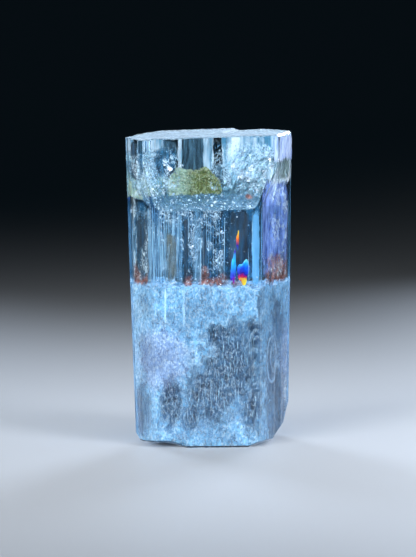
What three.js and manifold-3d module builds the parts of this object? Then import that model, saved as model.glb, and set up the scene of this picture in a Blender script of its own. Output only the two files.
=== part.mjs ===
// Aquamarine crystal: a flattened six-sided prism with striated faces, an etched and rippled top,
// a broken base with its lower right corner chipped away, and a small cluster of yellow mineral
// that grew into its back face and shows through the clear upper half.
// Millimetres, +Z up. The origin is the middle of the base of the crystal's box, the crystal
// stands on z = 0, and the broad clean face looks along -Y.
import * as THREE from 'three';
import { mergeVertices } from 'three/addons/utils/BufferGeometryUtils.js';
import Module from 'manifold-3d';

// Driving dimensions of the prism
const HEIGHT = 47.0;
const FRONT_TURN = THREE.MathUtils.degToRad(5);
const FRONT_LEFT_CORNER = [-8.5, -8.3];
const FRONT_WIDTH = 16.36;
const RIGHT_WIDTH = 10.65;
const BACK_RIGHT_WIDTH = 6.6;
const LEFT_WIDTH = 6.1;

// Taper of the two side corners and the outward slant of the front corners near the top
const HALF_WIDTH = 12;
const TAPER_LEVEL = 25;
const TAPER = { leftBase: -0.075, leftTop: 0.055, rightBase: -0.02, rightTop: 0.01 };
const FLARE_FROM = 35.5;
const FLARE_TO = 43.5;
const FLARE_RIGHT = 2.5;
const FLARE_LEFT = 1.0;

// Striations: flat strips that run up each face, a little below its plane
const STRIP_MIN = 0.7;
const STRIP_SPREAD = 2.2;
const STRIP_DEPTH = 0.34;
const STRIP_WALL = 0.14;
const STRIP_FADE = 2.5;
const STRIP_KEPT = 0.2;
const STRIP_WANDER = 0.05;
const LEVELS = 22;

// Relief of the top and of the broken base
const TOP_SLOPE = 0.028;
const TOP_STEP = 0.3;
const TOP_RIPPLE = 0.07;
const TOP_FINE_RIPPLE = 0.05;
const TOP_PIT = 0.12;
const BASE_LEFT_RISE = 1.2;
const BASE_BACK_RISE = 0.9;
const BASE_FRONT_SHELL = 0.1;
const BASE_SHELL = 0.34;
const BASE_SHELL_START = 0.26;
const RELIEF_CELL = 0.85;
const SPARE = 3;
const CHIP_CELLS = 10;

// Yellow mineral at the back face, in the frame of that face
const CLUSTER_WIDTH = 8.2;
const CLUSTER_BOTTOM = 37.6;
const CLUSTER_HEIGHT = 4.3;
const CLUSTER_DEPTH = 4.4;
const CLUSTER_PROUD = 0.35;
const CLUSTER_CENTRE_X = -2.2;
const BED_INSET = 0.3;
const BED_FRONT_GAP = 0.45;
const BED_BACK_GAP = 0.05;
const BLOCK_COLUMNS = 7;
const BLOCK_ROWS = 3;
const BLOCK_RANKS = 2;
const BLOCK_MIN = 0.75;
const BLOCK_SPREAD = 0.5;
const POCKET_GAP = 0.32;

const wasm = await Module();
wasm.setup();

// Repeatable scatter between 0 and 1
const scatter = (seed) => {
  const value = Math.sin(seed * 12.9898 + 4.137) * 43758.5453;
  return value - Math.floor(value);
};
const smooth = (from, to, value) => THREE.MathUtils.smoothstep(value, from, to);

const solidOf = (geometry) => {
  const bare = geometry.clone();
  bare.deleteAttribute('normal');
  bare.deleteAttribute('uv');
  const merged = mergeVertices(bare, 1e-4);
  return new wasm.Manifold(new wasm.Mesh({
    numProp: 3,
    vertProperties: Float32Array.from(merged.attributes.position.array),
    triVerts: Uint32Array.from(merged.index.array),
  }));
};

const geometryOf = (solid) => {
  const mesh = solid.getMesh();
  const geometry = new THREE.BufferGeometry();
  geometry.setAttribute('position', new THREE.BufferAttribute(mesh.vertProperties, 3));
  geometry.setIndex(new THREE.BufferAttribute(mesh.triVerts, 1));
  return geometry;
};

const moveVertices = (geometry, move) => {
  const position = geometry.attributes.position;
  const point = new THREE.Vector3();
  for (let i = 0; i < position.count; i += 1) {
    point.fromBufferAttribute(position, i);
    move(point);
    position.setXYZ(i, point.x, point.y, point.z);
  }
  return geometry;
};

// The six faces, anticlockwise from the front: each side turns 60 degrees from the one before,
// and the two hidden widths follow from closing the outline
const BACK_LEFT_WIDTH = RIGHT_WIDTH + BACK_RIGHT_WIDTH - LEFT_WIDTH;
const BACK_WIDTH = FRONT_WIDTH + RIGHT_WIDTH - BACK_LEFT_WIDTH;
const WIDTHS = [FRONT_WIDTH, RIGHT_WIDTH, BACK_RIGHT_WIDTH, BACK_WIDTH, BACK_LEFT_WIDTH, LEFT_WIDTH];
const faces = [];
let corner = new THREE.Vector2(...FRONT_LEFT_CORNER);
WIDTHS.forEach((width, index) => {
  const angle = FRONT_TURN + index * Math.PI / 3;
  const along = new THREE.Vector2(Math.cos(angle), Math.sin(angle));
  const outward = new THREE.Vector2(along.y, -along.x);
  faces.push({ start: corner, along, outward, width });
  corner = corner.clone().addScaledVector(along, width);
});
const [FRONT, RIGHT, , BACK, , LEFT] = faces;

// Outline of the prism: every face is cut into strips of its own width and depth
const striatedOutline = () => {
  const points = [];
  faces.forEach((face, faceIndex) => {
    let from = STRIP_WALL;
    let strip = 0;
    while (from < face.width - STRIP_WALL) {
      const seed = faceIndex * 31 + strip;
      const reach = from + STRIP_MIN + STRIP_SPREAD * scatter(seed) ** 1.5;
      const last = reach > face.width - STRIP_WALL - STRIP_MIN;
      const to = last ? face.width - STRIP_WALL : reach;
      const depth = 0.01 + STRIP_DEPTH * scatter(seed + 0.37) ** 2;
      for (const distance of [from, to]) {
        points.push(face.start.clone()
          .addScaledVector(face.along, distance)
          .addScaledVector(face.outward, -depth));
      }
      from = to + STRIP_WALL;
      strip += 1;
    }
  });
  return points;
};

// A strip dies out at a height of its own, and the deepest ones run the whole way
const fadeStrip = (point) => {
  const plan = new THREE.Vector2(point.x, point.y);
  let nearest = null;
  let below = Infinity;
  for (const face of faces) {
    const depth = -plan.clone().sub(face.start).dot(face.outward);
    if (depth < below) {
      below = depth;
      nearest = face;
    }
  }
  const ends = HEIGHT * (0.15 + 1.1 * scatter(Math.round(below * 1e3)));
  const wave = Math.sin(point.z * 0.31 + below * 40) * Math.sin(point.z * 0.12 + plan.x);
  const keep = 1 - (1 - STRIP_KEPT) * smooth(ends - STRIP_FADE, ends + STRIP_FADE, point.z);
  const push = below * (1 - keep) + STRIP_WANDER * (wave - 1);
  point.x += nearest.outward.x * push;
  point.y += nearest.outward.y * push;
};

// The front corners slant outwards above the clear window, in the plane of the front face
const flareCorners = (point) => {
  const rise = smooth(FLARE_FROM, FLARE_TO, point.z);
  const plan = new THREE.Vector2(point.x, point.y);
  const fromLeft = plan.clone().sub(FRONT.start).dot(FRONT.along);
  const pastRight = plan.clone().sub(RIGHT.start).dot(RIGHT.along);
  const pastLeft = -plan.clone().sub(FRONT.start).dot(LEFT.along);
  const share = THREE.MathUtils.clamp(fromLeft / FRONT.width, 0, 1);
  const right = share * THREE.MathUtils.clamp(1 - pastRight / RIGHT.width, 0, 1);
  const left = (1 - share) * THREE.MathUtils.clamp(1 - pastLeft / LEFT.width, 0, 1);
  const shift = rise * (FLARE_RIGHT * right - FLARE_LEFT * left);
  point.x += FRONT.along.x * shift;
  point.y += FRONT.along.y * shift;
};

const taperSides = (point) => {
  const [base, top] = point.x < 0
    ? [TAPER.leftBase, TAPER.leftTop]
    : [TAPER.rightBase, TAPER.rightTop];
  const down = Math.max(0, (TAPER_LEVEL - point.z) / TAPER_LEVEL);
  const up = Math.max(0, (point.z - TAPER_LEVEL) / (HEIGHT - TAPER_LEVEL));
  const share = base * down + top * up;
  point.x += share * point.x * Math.abs(point.x) / HALF_WIDTH;
};

const prism = () => {
  const shape = new THREE.Shape(striatedOutline());
  const geometry = new THREE.ExtrudeGeometry(shape, {
    depth: HEIGHT + 2 * SPARE,
    steps: LEVELS,
    bevelEnabled: false,
  });
  geometry.translate(0, 0, -SPARE);
  moveVertices(geometry, fadeStrip);
  moveVertices(geometry, flareCorners);
  moveVertices(geometry, taperSides);
  return solidOf(geometry);
};

// Etched top: it falls slightly to the left, has a low plateau behind and fine growth ripples
const topHeight = (x, y) => {
  const plateau = TOP_STEP * smooth(2.9, 1.6, x - 0.25 * y) * smooth(-2, 1, y);
  const ripples = Math.sin(2.3 * x + 0.6 * Math.sin(1.1 * y)) * Math.sin(1.7 * y + 0.4 * x);
  const fine = Math.sin(4.1 * y - 1.3 * x);
  const pits = Math.max(0, Math.sin(1.9 * x + 2.6 * y) * Math.sin(2.2 * y - 1.1 * x) - 0.55);
  return HEIGHT + TOP_SLOPE * x + plateau + TOP_RIPPLE * ripples + TOP_FINE_RIPPLE * fine
    - TOP_PIT * pits;
};

// Broken base: flat where it stands, rising gently to the left front, with shallow shells broken
// away at the back and along the front edge
const baseHeight = (x, y) => {
  const leftFront = smooth(-2.0, -13.5, x + 0.35 * y) * smooth(4.5, -2.5, y);
  const back = smooth(5.2, 7.8, y - 0.3 * Math.abs(x - 4));
  const frontShell = smooth(-5.6, -7.6, y) * (0.5 + 0.5 * Math.sin(0.95 * x + 0.4));
  const shells = Math.sin(0.62 * x + 0.5 * y) * Math.sin(0.5 * y - 0.3 * x + 1);
  const rise = BASE_LEFT_RISE * leftFront + BASE_BACK_RISE * back + BASE_FRONT_SHELL * frontShell;
  return Math.max(0, rise + BASE_SHELL * shells - BASE_SHELL_START);
};

// A block whose top and bottom carry the relief
const reliefBlock = () => {
  const width = 2 * (HALF_WIDTH + SPARE);
  const across = Math.round(width / RELIEF_CELL);
  const geometry = new THREE.BoxGeometry(width, width, HEIGHT, across, across, 1);
  moveVertices(geometry, (point) => {
    point.z = point.z > 0 ? topHeight(point.x, point.y) : baseHeight(point.x, point.y);
  });
  return solidOf(geometry);
};

// A slab with one uneven face, used to break a corner away. It lies beyond the given point,
// leaning by the given angle from upright and turned towards the corner.
const breakSlab = (x, y, z, turn, lean, size, roughness) => {
  const geometry = new THREE.BoxGeometry(size, size, size, CHIP_CELLS, CHIP_CELLS, 1);
  geometry.translate(0, 0, size / 2);
  moveVertices(geometry, (point) => {
    const edge = point.z < 1e-6 ? 1 : 0;
    point.z += edge * roughness * Math.sin(1.1 * point.x + x) * Math.sin(0.8 * point.y + z);
  });
  const place = new THREE.Matrix4().makeTranslation(x, y, z)
    .multiply(new THREE.Matrix4().makeRotationZ(turn))
    .multiply(new THREE.Matrix4().makeRotationY(lean));
  geometry.applyMatrix4(place);
  return solidOf(geometry);
};

const degrees = THREE.MathUtils.degToRad;
const chips = () => [
  // lower right corner, in three shells that get steeper as they rise
  breakSlab(11.35, 1.6, 3.1, degrees(8), degrees(108), 14, 0.1),
  breakSlab(10.55, 1.2, 1.75, degrees(2), degrees(132), 12, 0.12),
  breakSlab(8.9, -3.0, 0.42, degrees(-28), degrees(150), 9, 0.08),
  // lower left corner
  breakSlab(-10.7, -3.2, 0.9, degrees(188), degrees(118), 8, 0.08),
  // small break on the back left edge near the top
  breakSlab(-7.35, 6.9, 45.9, degrees(122), degrees(52), 6, 0.1),
];

// Outline of the yellow mineral seen from the front: flat below, a peak right of the middle.
// Distances are shares of its width and height.
const CLUSTER_OUTLINE = [
  [0.00, 0.24], [0.06, 0.04], [0.50, 0.00], [0.90, 0.04], [1.00, 0.24], [0.97, 0.48],
  [0.89, 0.66], [0.79, 0.88], [0.70, 1.00], [0.61, 0.88], [0.46, 0.86], [0.30, 0.92],
  [0.15, 0.94], [0.06, 0.74], [0.01, 0.50],
];
const outlineTop = (share) => {
  for (let i = 4; i < CLUSTER_OUTLINE.length - 1; i += 1) {
    const [right, rightTop] = CLUSTER_OUTLINE[i];
    const [left, leftTop] = CLUSTER_OUTLINE[i + 1];
    if (share <= right && share >= left) {
      return THREE.MathUtils.lerp(leftTop, rightTop, (share - left) / (right - left));
    }
  }
  return CLUSTER_OUTLINE.at(-1)[1];
};

// The frame of the back face: x along it to the right as seen from the front, y outwards
const backFrame = () => {
  const facing = new THREE.Matrix4().makeRotationZ(FRONT_TURN);
  const distance = BACK.start.dot(BACK.outward);
  const inPlane = new THREE.Matrix4().makeTranslation(CLUSTER_CENTRE_X, distance, CLUSTER_BOTTOM);
  return facing.multiply(inPlane);
};

// The bed of the cluster: the outline drawn in by an inset and given a depth behind the face
const clusterBed = (inset, front, back) => {
  const middle = [0.5, 0.45];
  const shape = new THREE.Shape(CLUSTER_OUTLINE.map(([across, up]) => new THREE.Vector2(
    (across - 0.5) * CLUSTER_WIDTH - inset * Math.sign(across - middle[0]),
    up * CLUSTER_HEIGHT - inset * Math.sign(up - middle[1]),
  )));
  const geometry = new THREE.ExtrudeGeometry(shape, { depth: back - front, bevelEnabled: false });
  geometry.rotateX(Math.PI / 2);
  geometry.translate(0, back, 0);
  return geometry;
};

// The cluster: blocky crystals crowded over a bed, all grown into one another
const yellowCluster = (place) => {
  const bed = clusterBed(BED_INSET, BED_FRONT_GAP - CLUSTER_DEPTH, -BED_BACK_GAP);
  let cluster = solidOf(bed.applyMatrix4(place));
  for (let i = 0; i < BLOCK_COLUMNS * BLOCK_ROWS * BLOCK_RANKS; i += 1) {
    const column = i % BLOCK_COLUMNS;
    const row = Math.floor(i / BLOCK_COLUMNS) % BLOCK_ROWS;
    const rank = Math.floor(i / (BLOCK_COLUMNS * BLOCK_ROWS));
    const share = (column + 0.35 + 0.3 * scatter(i)) / BLOCK_COLUMNS;
    const size = BLOCK_MIN + BLOCK_SPREAD * scatter(i + 0.2);
    const top = outlineTop(share) * CLUSTER_HEIGHT - size * 0.5;
    const geometry = new THREE.BoxGeometry(size, size * 1.15, size * (1 + 0.4 * scatter(i + 0.6)));
    geometry.rotateX(0.9 * (scatter(i + 0.1) - 0.5));
    geometry.rotateY(1.2 * (scatter(i + 0.4) - 0.5));
    geometry.rotateZ(1.4 * scatter(i + 0.8));
    geometry.translate(
      (share - 0.5) * (CLUSTER_WIDTH - size),
      -CLUSTER_DEPTH + size * 0.62 + rank * (CLUSTER_DEPTH - size - 0.1) + 0.3 * scatter(i + 0.5),
      size * 0.55 + (top - size * 0.55) * row / (BLOCK_ROWS - 1),
    );
    cluster = cluster.add(solidOf(geometry.applyMatrix4(place)));
  }
  const space = clusterBed(0, -CLUSTER_DEPTH, CLUSTER_PROUD).applyMatrix4(place);
  return cluster.intersect(solidOf(space));
};

const pocket = (place) => solidOf(
  clusterBed(-POCKET_GAP, -CLUSTER_DEPTH - POCKET_GAP, SPARE).applyMatrix4(place),
);

const place = backFrame();
let crystal = prism().intersect(reliefBlock());
for (const chip of chips()) {
  crystal = crystal.subtract(chip);
}
crystal = crystal.subtract(pocket(place));
const cluster = yellowCluster(place);

// Both pieces move by the same step, which puts the origin at the middle of the box
const crystalGeometry = geometryOf(crystal);
const clusterGeometry = geometryOf(cluster);
crystalGeometry.computeBoundingBox();
clusterGeometry.computeBoundingBox();
const box = crystalGeometry.boundingBox.clone().union(clusterGeometry.boundingBox);
const middle = box.getCenter(new THREE.Vector3());
for (const geometry of [crystalGeometry, clusterGeometry]) {
  geometry.translate(-middle.x, -middle.y, 0);
  geometry.computeVertexNormals();
}

const aquamarine = new THREE.Mesh(crystalGeometry, new THREE.MeshStandardMaterial({
  color: 0xa6cfe8,
  roughness: 0.12,
  metalness: 0,
  flatShading: true,
}));
aquamarine.name = 'aquamarine_crystal';

const yellowMineral = new THREE.Mesh(clusterGeometry, new THREE.MeshStandardMaterial({
  color: 0xa3a46a,
  roughness: 0.6,
  metalness: 0,
  flatShading: true,
}));
yellowMineral.name = 'yellow_mineral_inclusion';

const group = new THREE.Group();
group.add(aquamarine, yellowMineral);

export default group;
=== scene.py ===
"""Aquamarine crystal: a clear prism over a milky lower half, with what it holds inside.

The outside is one fine mesh that stands for the CAD crystal.  Inside it lie the milky growth
zone, healed cracks, an iron-stained parting, a thin crack with interference colours, growth
tubes, and the yellow mineral at the back face.  Sizes in the classes are millimetres in the
prism's own plan, and every mesh is turned to metres in the frame at the end.
"""

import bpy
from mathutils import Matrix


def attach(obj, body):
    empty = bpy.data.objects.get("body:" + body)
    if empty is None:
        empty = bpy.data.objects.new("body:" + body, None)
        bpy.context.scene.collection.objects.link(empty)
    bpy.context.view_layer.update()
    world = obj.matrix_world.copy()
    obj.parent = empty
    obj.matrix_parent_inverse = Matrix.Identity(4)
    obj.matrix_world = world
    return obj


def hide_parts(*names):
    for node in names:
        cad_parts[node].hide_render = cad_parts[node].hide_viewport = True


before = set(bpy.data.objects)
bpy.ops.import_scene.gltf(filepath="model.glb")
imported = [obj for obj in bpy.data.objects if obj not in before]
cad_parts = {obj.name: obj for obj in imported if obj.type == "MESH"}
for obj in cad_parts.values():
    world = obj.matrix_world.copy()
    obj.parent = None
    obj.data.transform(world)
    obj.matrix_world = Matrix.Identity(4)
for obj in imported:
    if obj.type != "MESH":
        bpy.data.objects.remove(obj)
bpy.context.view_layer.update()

import logging
import math
from collections.abc import Callable
from dataclasses import dataclass
from enum import Enum
from itertools import product

import bpy
import numpy as np
from mathutils import Vector

log = logging.getLogger("aquamarine")

Pair = tuple[float, float]
Triple = tuple[float, float, float]
Socket = bpy.types.NodeSocket
# A wall turns places and levels into points, and a relief turns plan x and y into levels
Wall = Callable[[np.ndarray, np.ndarray], np.ndarray]
Relief = Callable[[np.ndarray, np.ndarray], np.ndarray]
# Ellipsoids: middles and half sizes in the prism's millimetres
Clouds = tuple[tuple[Triple, Triple], ...]

MM = 0.001
# The middle of the crystal's box in the prism's own plan
PLAN_MIDDLE = (-0.073, -0.089)
SHARP_ANGLE = math.radians(24)
# Each end face's rings start at this share of its outline and crowd towards its edge
FIRST_RING = 0.02
RING_POWER = 0.8
# The sine of scatter(): its step, its start and the spread that hides its waves
SINE = (12.9898, 4.137, 43758.5453)
# Steps that give each whole point of value_noise() and each seed a number of its own
POINT_STEPS = (1.7, 57.3, 113.9)
SEED_STEP = 7.31


def to_linear(hex_colour: str, alpha: float = 1.0) -> tuple[float, float, float, float]:
    """Turn an sRGB hex colour into linear red, green, blue and alpha.

    Args:
        hex_colour: six hex digits with a leading #.
        alpha: the fourth value, passed on as it is.

    Returns:
        The linear colour as four numbers.
    """
    parts = (int(hex_colour[i:i + 2], 16) / 255 for i in (1, 3, 5))
    linear = [c / 12.92 if c <= 0.04045 else ((c + 0.055) / 1.055) ** 2.4 for c in parts]
    return (*linear, alpha)


def scatter(seed: np.ndarray) -> np.ndarray:
    """Return repeatable numbers between 0 and 1: the fraction left of a large sine."""
    value = np.sin(np.asarray(seed, float) * SINE[0] + SINE[1]) * SINE[2]
    return value - np.floor(value)


def smooth(start: float, end: float, value: np.ndarray) -> np.ndarray:
    """Rise smoothly from 0 at start to 1 at end: the cubic 3t^2 - 2t^3."""
    t = np.clip((value - start) / (end - start), 0, 1)
    return t * t * (3 - 2 * t)


def value_noise(seed: float, x: np.ndarray, y: np.ndarray | float = 0.0,
                z: np.ndarray | float = 0.0) -> np.ndarray:
    """Return soft noise from -1 to 1: scattered values at whole points, blended by smooth cubes.

    Args:
        seed: picks another pattern.
        x: first coordinate, in units of one noise cell.
        y: second coordinate.
        z: third coordinate.

    Returns:
        The noise, in the shape that x, y and z broadcast to.
    """
    x, y, z = np.broadcast_arrays(x, y, z)
    corner = [np.floor(c) for c in (x, y, z)]
    part = [c - f for c, f in zip((x, y, z), corner)]
    part = [p * p * (3 - 2 * p) for p in part]
    total = np.zeros(x.shape)
    for i, j, k in product((0, 1), repeat=3):
        weight = np.abs(1 - i - part[0]) * np.abs(1 - j - part[1]) * np.abs(1 - k - part[2])
        steps = [(c + n) * step for c, n, step in zip(corner, (i, j, k), POINT_STEPS)]
        total += weight * scatter(steps[0] + steps[1] + steps[2] + seed * SEED_STEP)
    return 2 * total - 1


def between(start: np.ndarray | float, end: np.ndarray | float,
            share: np.ndarray) -> np.ndarray:
    """Return the value at a share of the way between two ends."""
    return start + (end - start) * share


def raised(plan: np.ndarray, level: np.ndarray) -> np.ndarray:
    """Return plan points with their levels as a third coordinate."""
    level = np.broadcast_to(level, plan.shape[:-1])
    return np.concatenate([plan, level[..., None]], axis=-1)


def shrunk(outline: np.ndarray, shares: np.ndarray) -> np.ndarray:
    """Return an outline's plan points once for each share, drawn in towards its middle."""
    middle = outline.mean(axis=0)
    return middle + (outline[None] - middle) * shares[:, None, None]


def circle(count: int, phase: float = 0.0) -> tuple[np.ndarray, np.ndarray]:
    """Return the cosines and sines of evenly spaced angles, moved on by a share of a step."""
    angle = (np.arange(count) + phase) / count * 2 * np.pi
    return np.cos(angle), np.sin(angle)


def add_node(tree: bpy.types.NodeTree, kind: str, inputs: dict | None = None,
             output: int | str | None = 0, **settings) -> Socket | None:
    """Add a shader node, set its properties, and fill or link its inputs.

    Args:
        tree: the material's or world's node tree.
        kind: the node's type name without its ShaderNode prefix.
        inputs: input name or index to a value, or to the socket that feeds it.
        output: name or index of the output wanted, or None for a node with none.
        settings: properties of the node.

    Returns:
        The wanted output's socket.
    """
    node = tree.nodes.new("ShaderNode" + kind)
    for name, value in settings.items():
        setattr(node, name, value)
    for key, value in (inputs or {}).items():
        if isinstance(value, Socket):
            tree.links.new(value, node.inputs[key])
        else:
            node.inputs[key].default_value = value
    return None if output is None else node.outputs[output]


def finish_mesh(name: str, points: np.ndarray, quads: np.ndarray, triangles: np.ndarray,
                finish: bpy.types.Material) -> bpy.types.Object:
    """Put points and faces into a mesh in metres in the frame, with its faces outwards.

    Args:
        name: the piece's name.
        points: (n, 3) in the prism's own millimetres.
        quads: (m, 4) corner numbers.
        triangles: (k, 3) corner numbers.
        finish: the piece's material.

    Returns:
        The mesh object, at the origin, riding on the root body.
    """
    place = (points - np.array([*PLAN_MIDDLE, 0.0])) * MM
    corners = [quads[:, [0, 1, 2]], quads[:, [0, 2, 3]], triangles]
    split = np.concatenate([c for c in corners if len(c)])
    a, b, c = (place[split[:, i]] for i in range(3))
    if np.einsum("ij,ij->i", a, np.cross(b, c)).sum() < 0:
        quads = quads[:, ::-1]
        triangles = triangles[:, ::-1]
    loops = np.concatenate([quads.ravel(), triangles.ravel()]).astype(np.int32)
    sizes = np.concatenate([np.full(len(quads), 4), np.full(len(triangles), 3)])
    mesh = bpy.data.meshes.new(name)
    mesh.vertices.add(len(place))
    mesh.vertices.foreach_set("co", place.astype(np.float32).ravel())
    mesh.loops.add(len(loops))
    mesh.loops.foreach_set("vertex_index", loops)
    mesh.polygons.add(len(sizes))
    mesh.polygons.foreach_set("loop_start", (np.cumsum(sizes) - sizes).astype(np.int32))
    mesh.update(calc_edges=True)
    mesh.validate()
    mesh.shade_smooth()
    mesh.set_sharp_from_angle(angle=SHARP_ANGLE)
    mesh.materials.append(finish)
    piece = bpy.data.objects.new(name, mesh)
    bpy.context.scene.collection.objects.link(piece)
    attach(piece, "root")
    log.info("%s: %d faces", name, len(sizes))
    return piece


def closed_faces(rings: int, around: int, first: int = 0) -> tuple[np.ndarray, np.ndarray]:
    """Return the quads and the end fans of one closed set of rings.

    Args:
        rings: number of rings.
        around: points in a ring.
        first: number of the set's first point; its two poles come after its rings.

    Returns:
        (m, 4) quads and (k, 3) triangles.
    """
    here = np.arange(rings * around).reshape(rings, around)
    nxt = np.roll(here, -1, axis=1)
    quads = np.stack([here[:-1], nxt[:-1], nxt[1:], here[1:]], axis=-1).reshape(-1, 4)
    low = np.stack([nxt[0], here[0], np.full(around, rings * around)], axis=-1)
    high = np.stack([here[-1], nxt[-1], np.full(around, rings * around + 1)], axis=-1)
    return quads + first, np.concatenate([low, high]) + first


def many_skins(name: str, sets: np.ndarray, finish: bpy.types.Material,
               extra: np.ndarray | None = None) -> bpy.types.Object:
    """Make one piece of closed forms, each given by rings of points and shut with end fans.

    Args:
        name: the piece's name.
        sets: (forms, rings, points, 3) points.
        finish: the piece's material.
        extra: the rings of one larger form to join to them, or None.

    Returns:
        The mesh object.
    """
    forms, rings, around = sets.shape[:3]
    poles = sets[:, [0, -1]].mean(axis=2)
    points = np.concatenate([sets.reshape(forms, -1, 3), poles], axis=1)
    quads, fans = closed_faces(rings, around)
    step = (np.arange(forms) * points.shape[1])[:, None, None]
    all_points = [points.reshape(-1, 3)]
    all_quads = [(quads + step).reshape(-1, 4)]
    all_fans = [(fans + step).reshape(-1, 3)]
    if extra is not None:
        more_quads, more_fans = closed_faces(*extra.shape[:2], forms * points.shape[1])
        all_points += [extra.reshape(-1, 3), extra[[0, -1]].mean(axis=1)]
        all_quads.append(more_quads)
        all_fans.append(more_fans)
    return finish_mesh(name, np.concatenate(all_points), np.concatenate(all_quads),
                       np.concatenate(all_fans), finish)


def skin(name: str, rings: np.ndarray, finish: bpy.types.Material,
         film: bool = False) -> bpy.types.Object:
    """Make one closed piece of the crystal from rings of points, shut with a fan at each end.

    Args:
        name: the piece's name.
        rings: (rings, points, 3) in the prism's own millimetres, from one end to the other.
        finish: the piece's material.
        film: whether it lets the light pass without a shadow.

    Returns:
        The mesh object, at the origin, riding on the root body.
    """
    piece = many_skins(name, rings[None], finish)
    piece.visible_shadow = not film
    return piece


def upright_sheet(name: str, across: np.ndarray, thickness: float,
                  finish: bpy.types.Material) -> bpy.types.Object:
    """Make a thin closed slab of a curved sheet: its front and back points, a side all round.

    Args:
        name: the piece's name.
        across: (rows, columns, 3) points of the sheet's middle surface.
        thickness: the slab's thickness, along the normals worked out from the grid.
        finish: the piece's material.

    Returns:
        The mesh object. Row by row, its points are the front ones, then the back ones reversed.
    """
    normal = np.cross(np.gradient(across, axis=1), np.gradient(across, axis=0))
    normal /= np.linalg.norm(normal, axis=-1, keepdims=True)
    front = across + normal * thickness / 2
    back = across - normal * thickness / 2
    rings = np.concatenate([front, back[:, ::-1]], axis=1)
    rows, around = rings.shape[:2]
    quads, _ = closed_faces(rows, around)
    near = np.arange(across.shape[1] - 1)
    foot = np.stack([near + 1, near, around - 1 - near, around - 2 - near], axis=-1)
    head = foot[:, ::-1] + (rows - 1) * around
    piece = finish_mesh(name, rings.reshape(-1, 3), np.concatenate([quads, foot, head]),
                        np.zeros((0, 3), int), finish)
    piece.visible_shadow = False
    return piece


def level_sheet(name: str, outline: np.ndarray, relief: Relief, lifts: Pair, rings: int,
                finish: bpy.types.Material) -> bpy.types.Object:
    """Make a thin closed sheet: an outline shrunk ring by ring and laid on a relief, twice.

    Args:
        name: the piece's name.
        outline: (points, 2) plan points.
        relief: the sheet's level at plan points.
        lifts: how far its upper and its lower face lie above the relief.
        rings: number of rings from the middle to the outline.
        finish: the piece's material.

    Returns:
        The mesh object.
    """
    plan = shrunk(outline, np.linspace(FIRST_RING, 1, rings))
    level = relief(plan[..., 0], plan[..., 1])
    upper, lower = (raised(plan, level + lift) for lift in lifts)
    return skin(name, np.concatenate([upper, lower[::-1]]), finish, True)


def column(wall: Wall, places: np.ndarray, foot_relief: Relief, head_relief: Relief,
           height: float, levels: int, rings: int) -> np.ndarray:
    """Return the rings of an upright closed form: base relief, wall, top relief.

    The end faces are the wall's outline shrunk towards its middle, laid on their relief, and the
    wall runs between the two reliefs at its own outline.

    Args:
        wall: gives points from places round the outline and levels.
        places: places round the outline.
        foot_relief: level of the lower end at plan points.
        head_relief: level of the upper end at plan points.
        height: nominal level of the upper end.
        levels: number of rings up the wall.
        rings: number of rings on each end face.

    Returns:
        (rings, points, 3) points.
    """
    foot = wall(places, np.zeros_like(places))[:, :2]
    head = wall(places, np.full_like(places, height))[:, :2]
    low = foot_relief(foot[:, 0], foot[:, 1])
    high = head_relief(head[:, 0], head[:, 1])
    walls = wall(places[None, :], between(low, high, np.linspace(0, 1, levels)[:, None]))
    share = np.linspace(FIRST_RING, 1, rings, endpoint=False) ** RING_POWER
    ends = []
    for outline, shares, relief in ((foot, share, foot_relief), (head, share[::-1], head_relief)):
        plan = shrunk(outline, shares)
        ends.append(raised(plan, relief(plan[..., 0], plan[..., 1])))
    return np.concatenate([ends[0], walls, ends[1]])


def turned(rings: np.ndarray, seed: np.ndarray, tilt: float = 2.8) -> np.ndarray:
    """Turn each set of rings by its own scattered angles about z, x and y.

    Args:
        rings: (sets, rings, points, 3) points round each set's own middle.
        seed: one number for each set.
        tilt: range of the angles about x and y.

    Returns:
        The turned points.
    """
    result = rings
    for axis, most in ((2, 2 * math.pi), (0, tilt), (1, tilt)):
        angle = (scatter(seed + 0.81 + 0.05 * axis) - 0.5) * most
        cos, sin = np.cos(angle), np.sin(angle)
        matrix = np.zeros((len(seed), 3, 3))
        i, j = (axis + 1) % 3, (axis + 2) % 3
        matrix[:, axis, axis] = 1
        matrix[:, i, i] = cos
        matrix[:, j, j] = cos
        matrix[:, i, j] = -sin
        matrix[:, j, i] = sin
        result = np.einsum("nij,nrpj->nrpi", matrix, result)
    return result


class Face(Enum):
    """The six prism faces, anticlockwise from the broad clean one."""

    FRONT = 0
    RIGHT = 1
    BACK_RIGHT = 2
    BACK = 3
    BACK_LEFT = 4
    LEFT = 5


@dataclass(frozen=True)
class Unevenness:
    """Soft noise on a nearly level face: its height and the sizes of its cells, in millimetres."""

    height: float
    along: float
    across: float
    seed: float

    def at(self, x: np.ndarray, y: np.ndarray, bend_x: np.ndarray | float = 0.0,
           bend_y: np.ndarray | float = 0.0) -> np.ndarray:
        """Return the noise at plan points, with its cells shifted by the two bends."""
        return self.height * value_noise(self.seed, x / self.along + bend_x,
                                         y / self.across + bend_y)


@dataclass(frozen=True)
class Chip:
    """A corner broken away along an uneven slanting plane through one point."""

    x: float
    y: float
    z: float
    turn: float
    lean: float
    roughness: float
    waves: Pair = (1.1, 0.8)

    def height(self, x: np.ndarray, y: np.ndarray) -> np.ndarray:
        """Return the lowest level that the break leaves: a plane, plus two crossed waves.

        Args:
            x: plan coordinate along the width.
            y: plan coordinate along the depth.

        Returns:
            Levels in millimetres.
        """
        turn = math.radians(self.turn)
        lean = math.radians(self.lean)
        out = (x - self.x) * math.cos(turn) + (y - self.y) * math.sin(turn)
        ripple = np.sin(self.waves[0] * out + self.x) * np.sin(self.waves[1] * (y - x) + self.z)
        return self.z + out * math.sin(lean) / -math.cos(lean) + self.roughness * ripple


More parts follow.
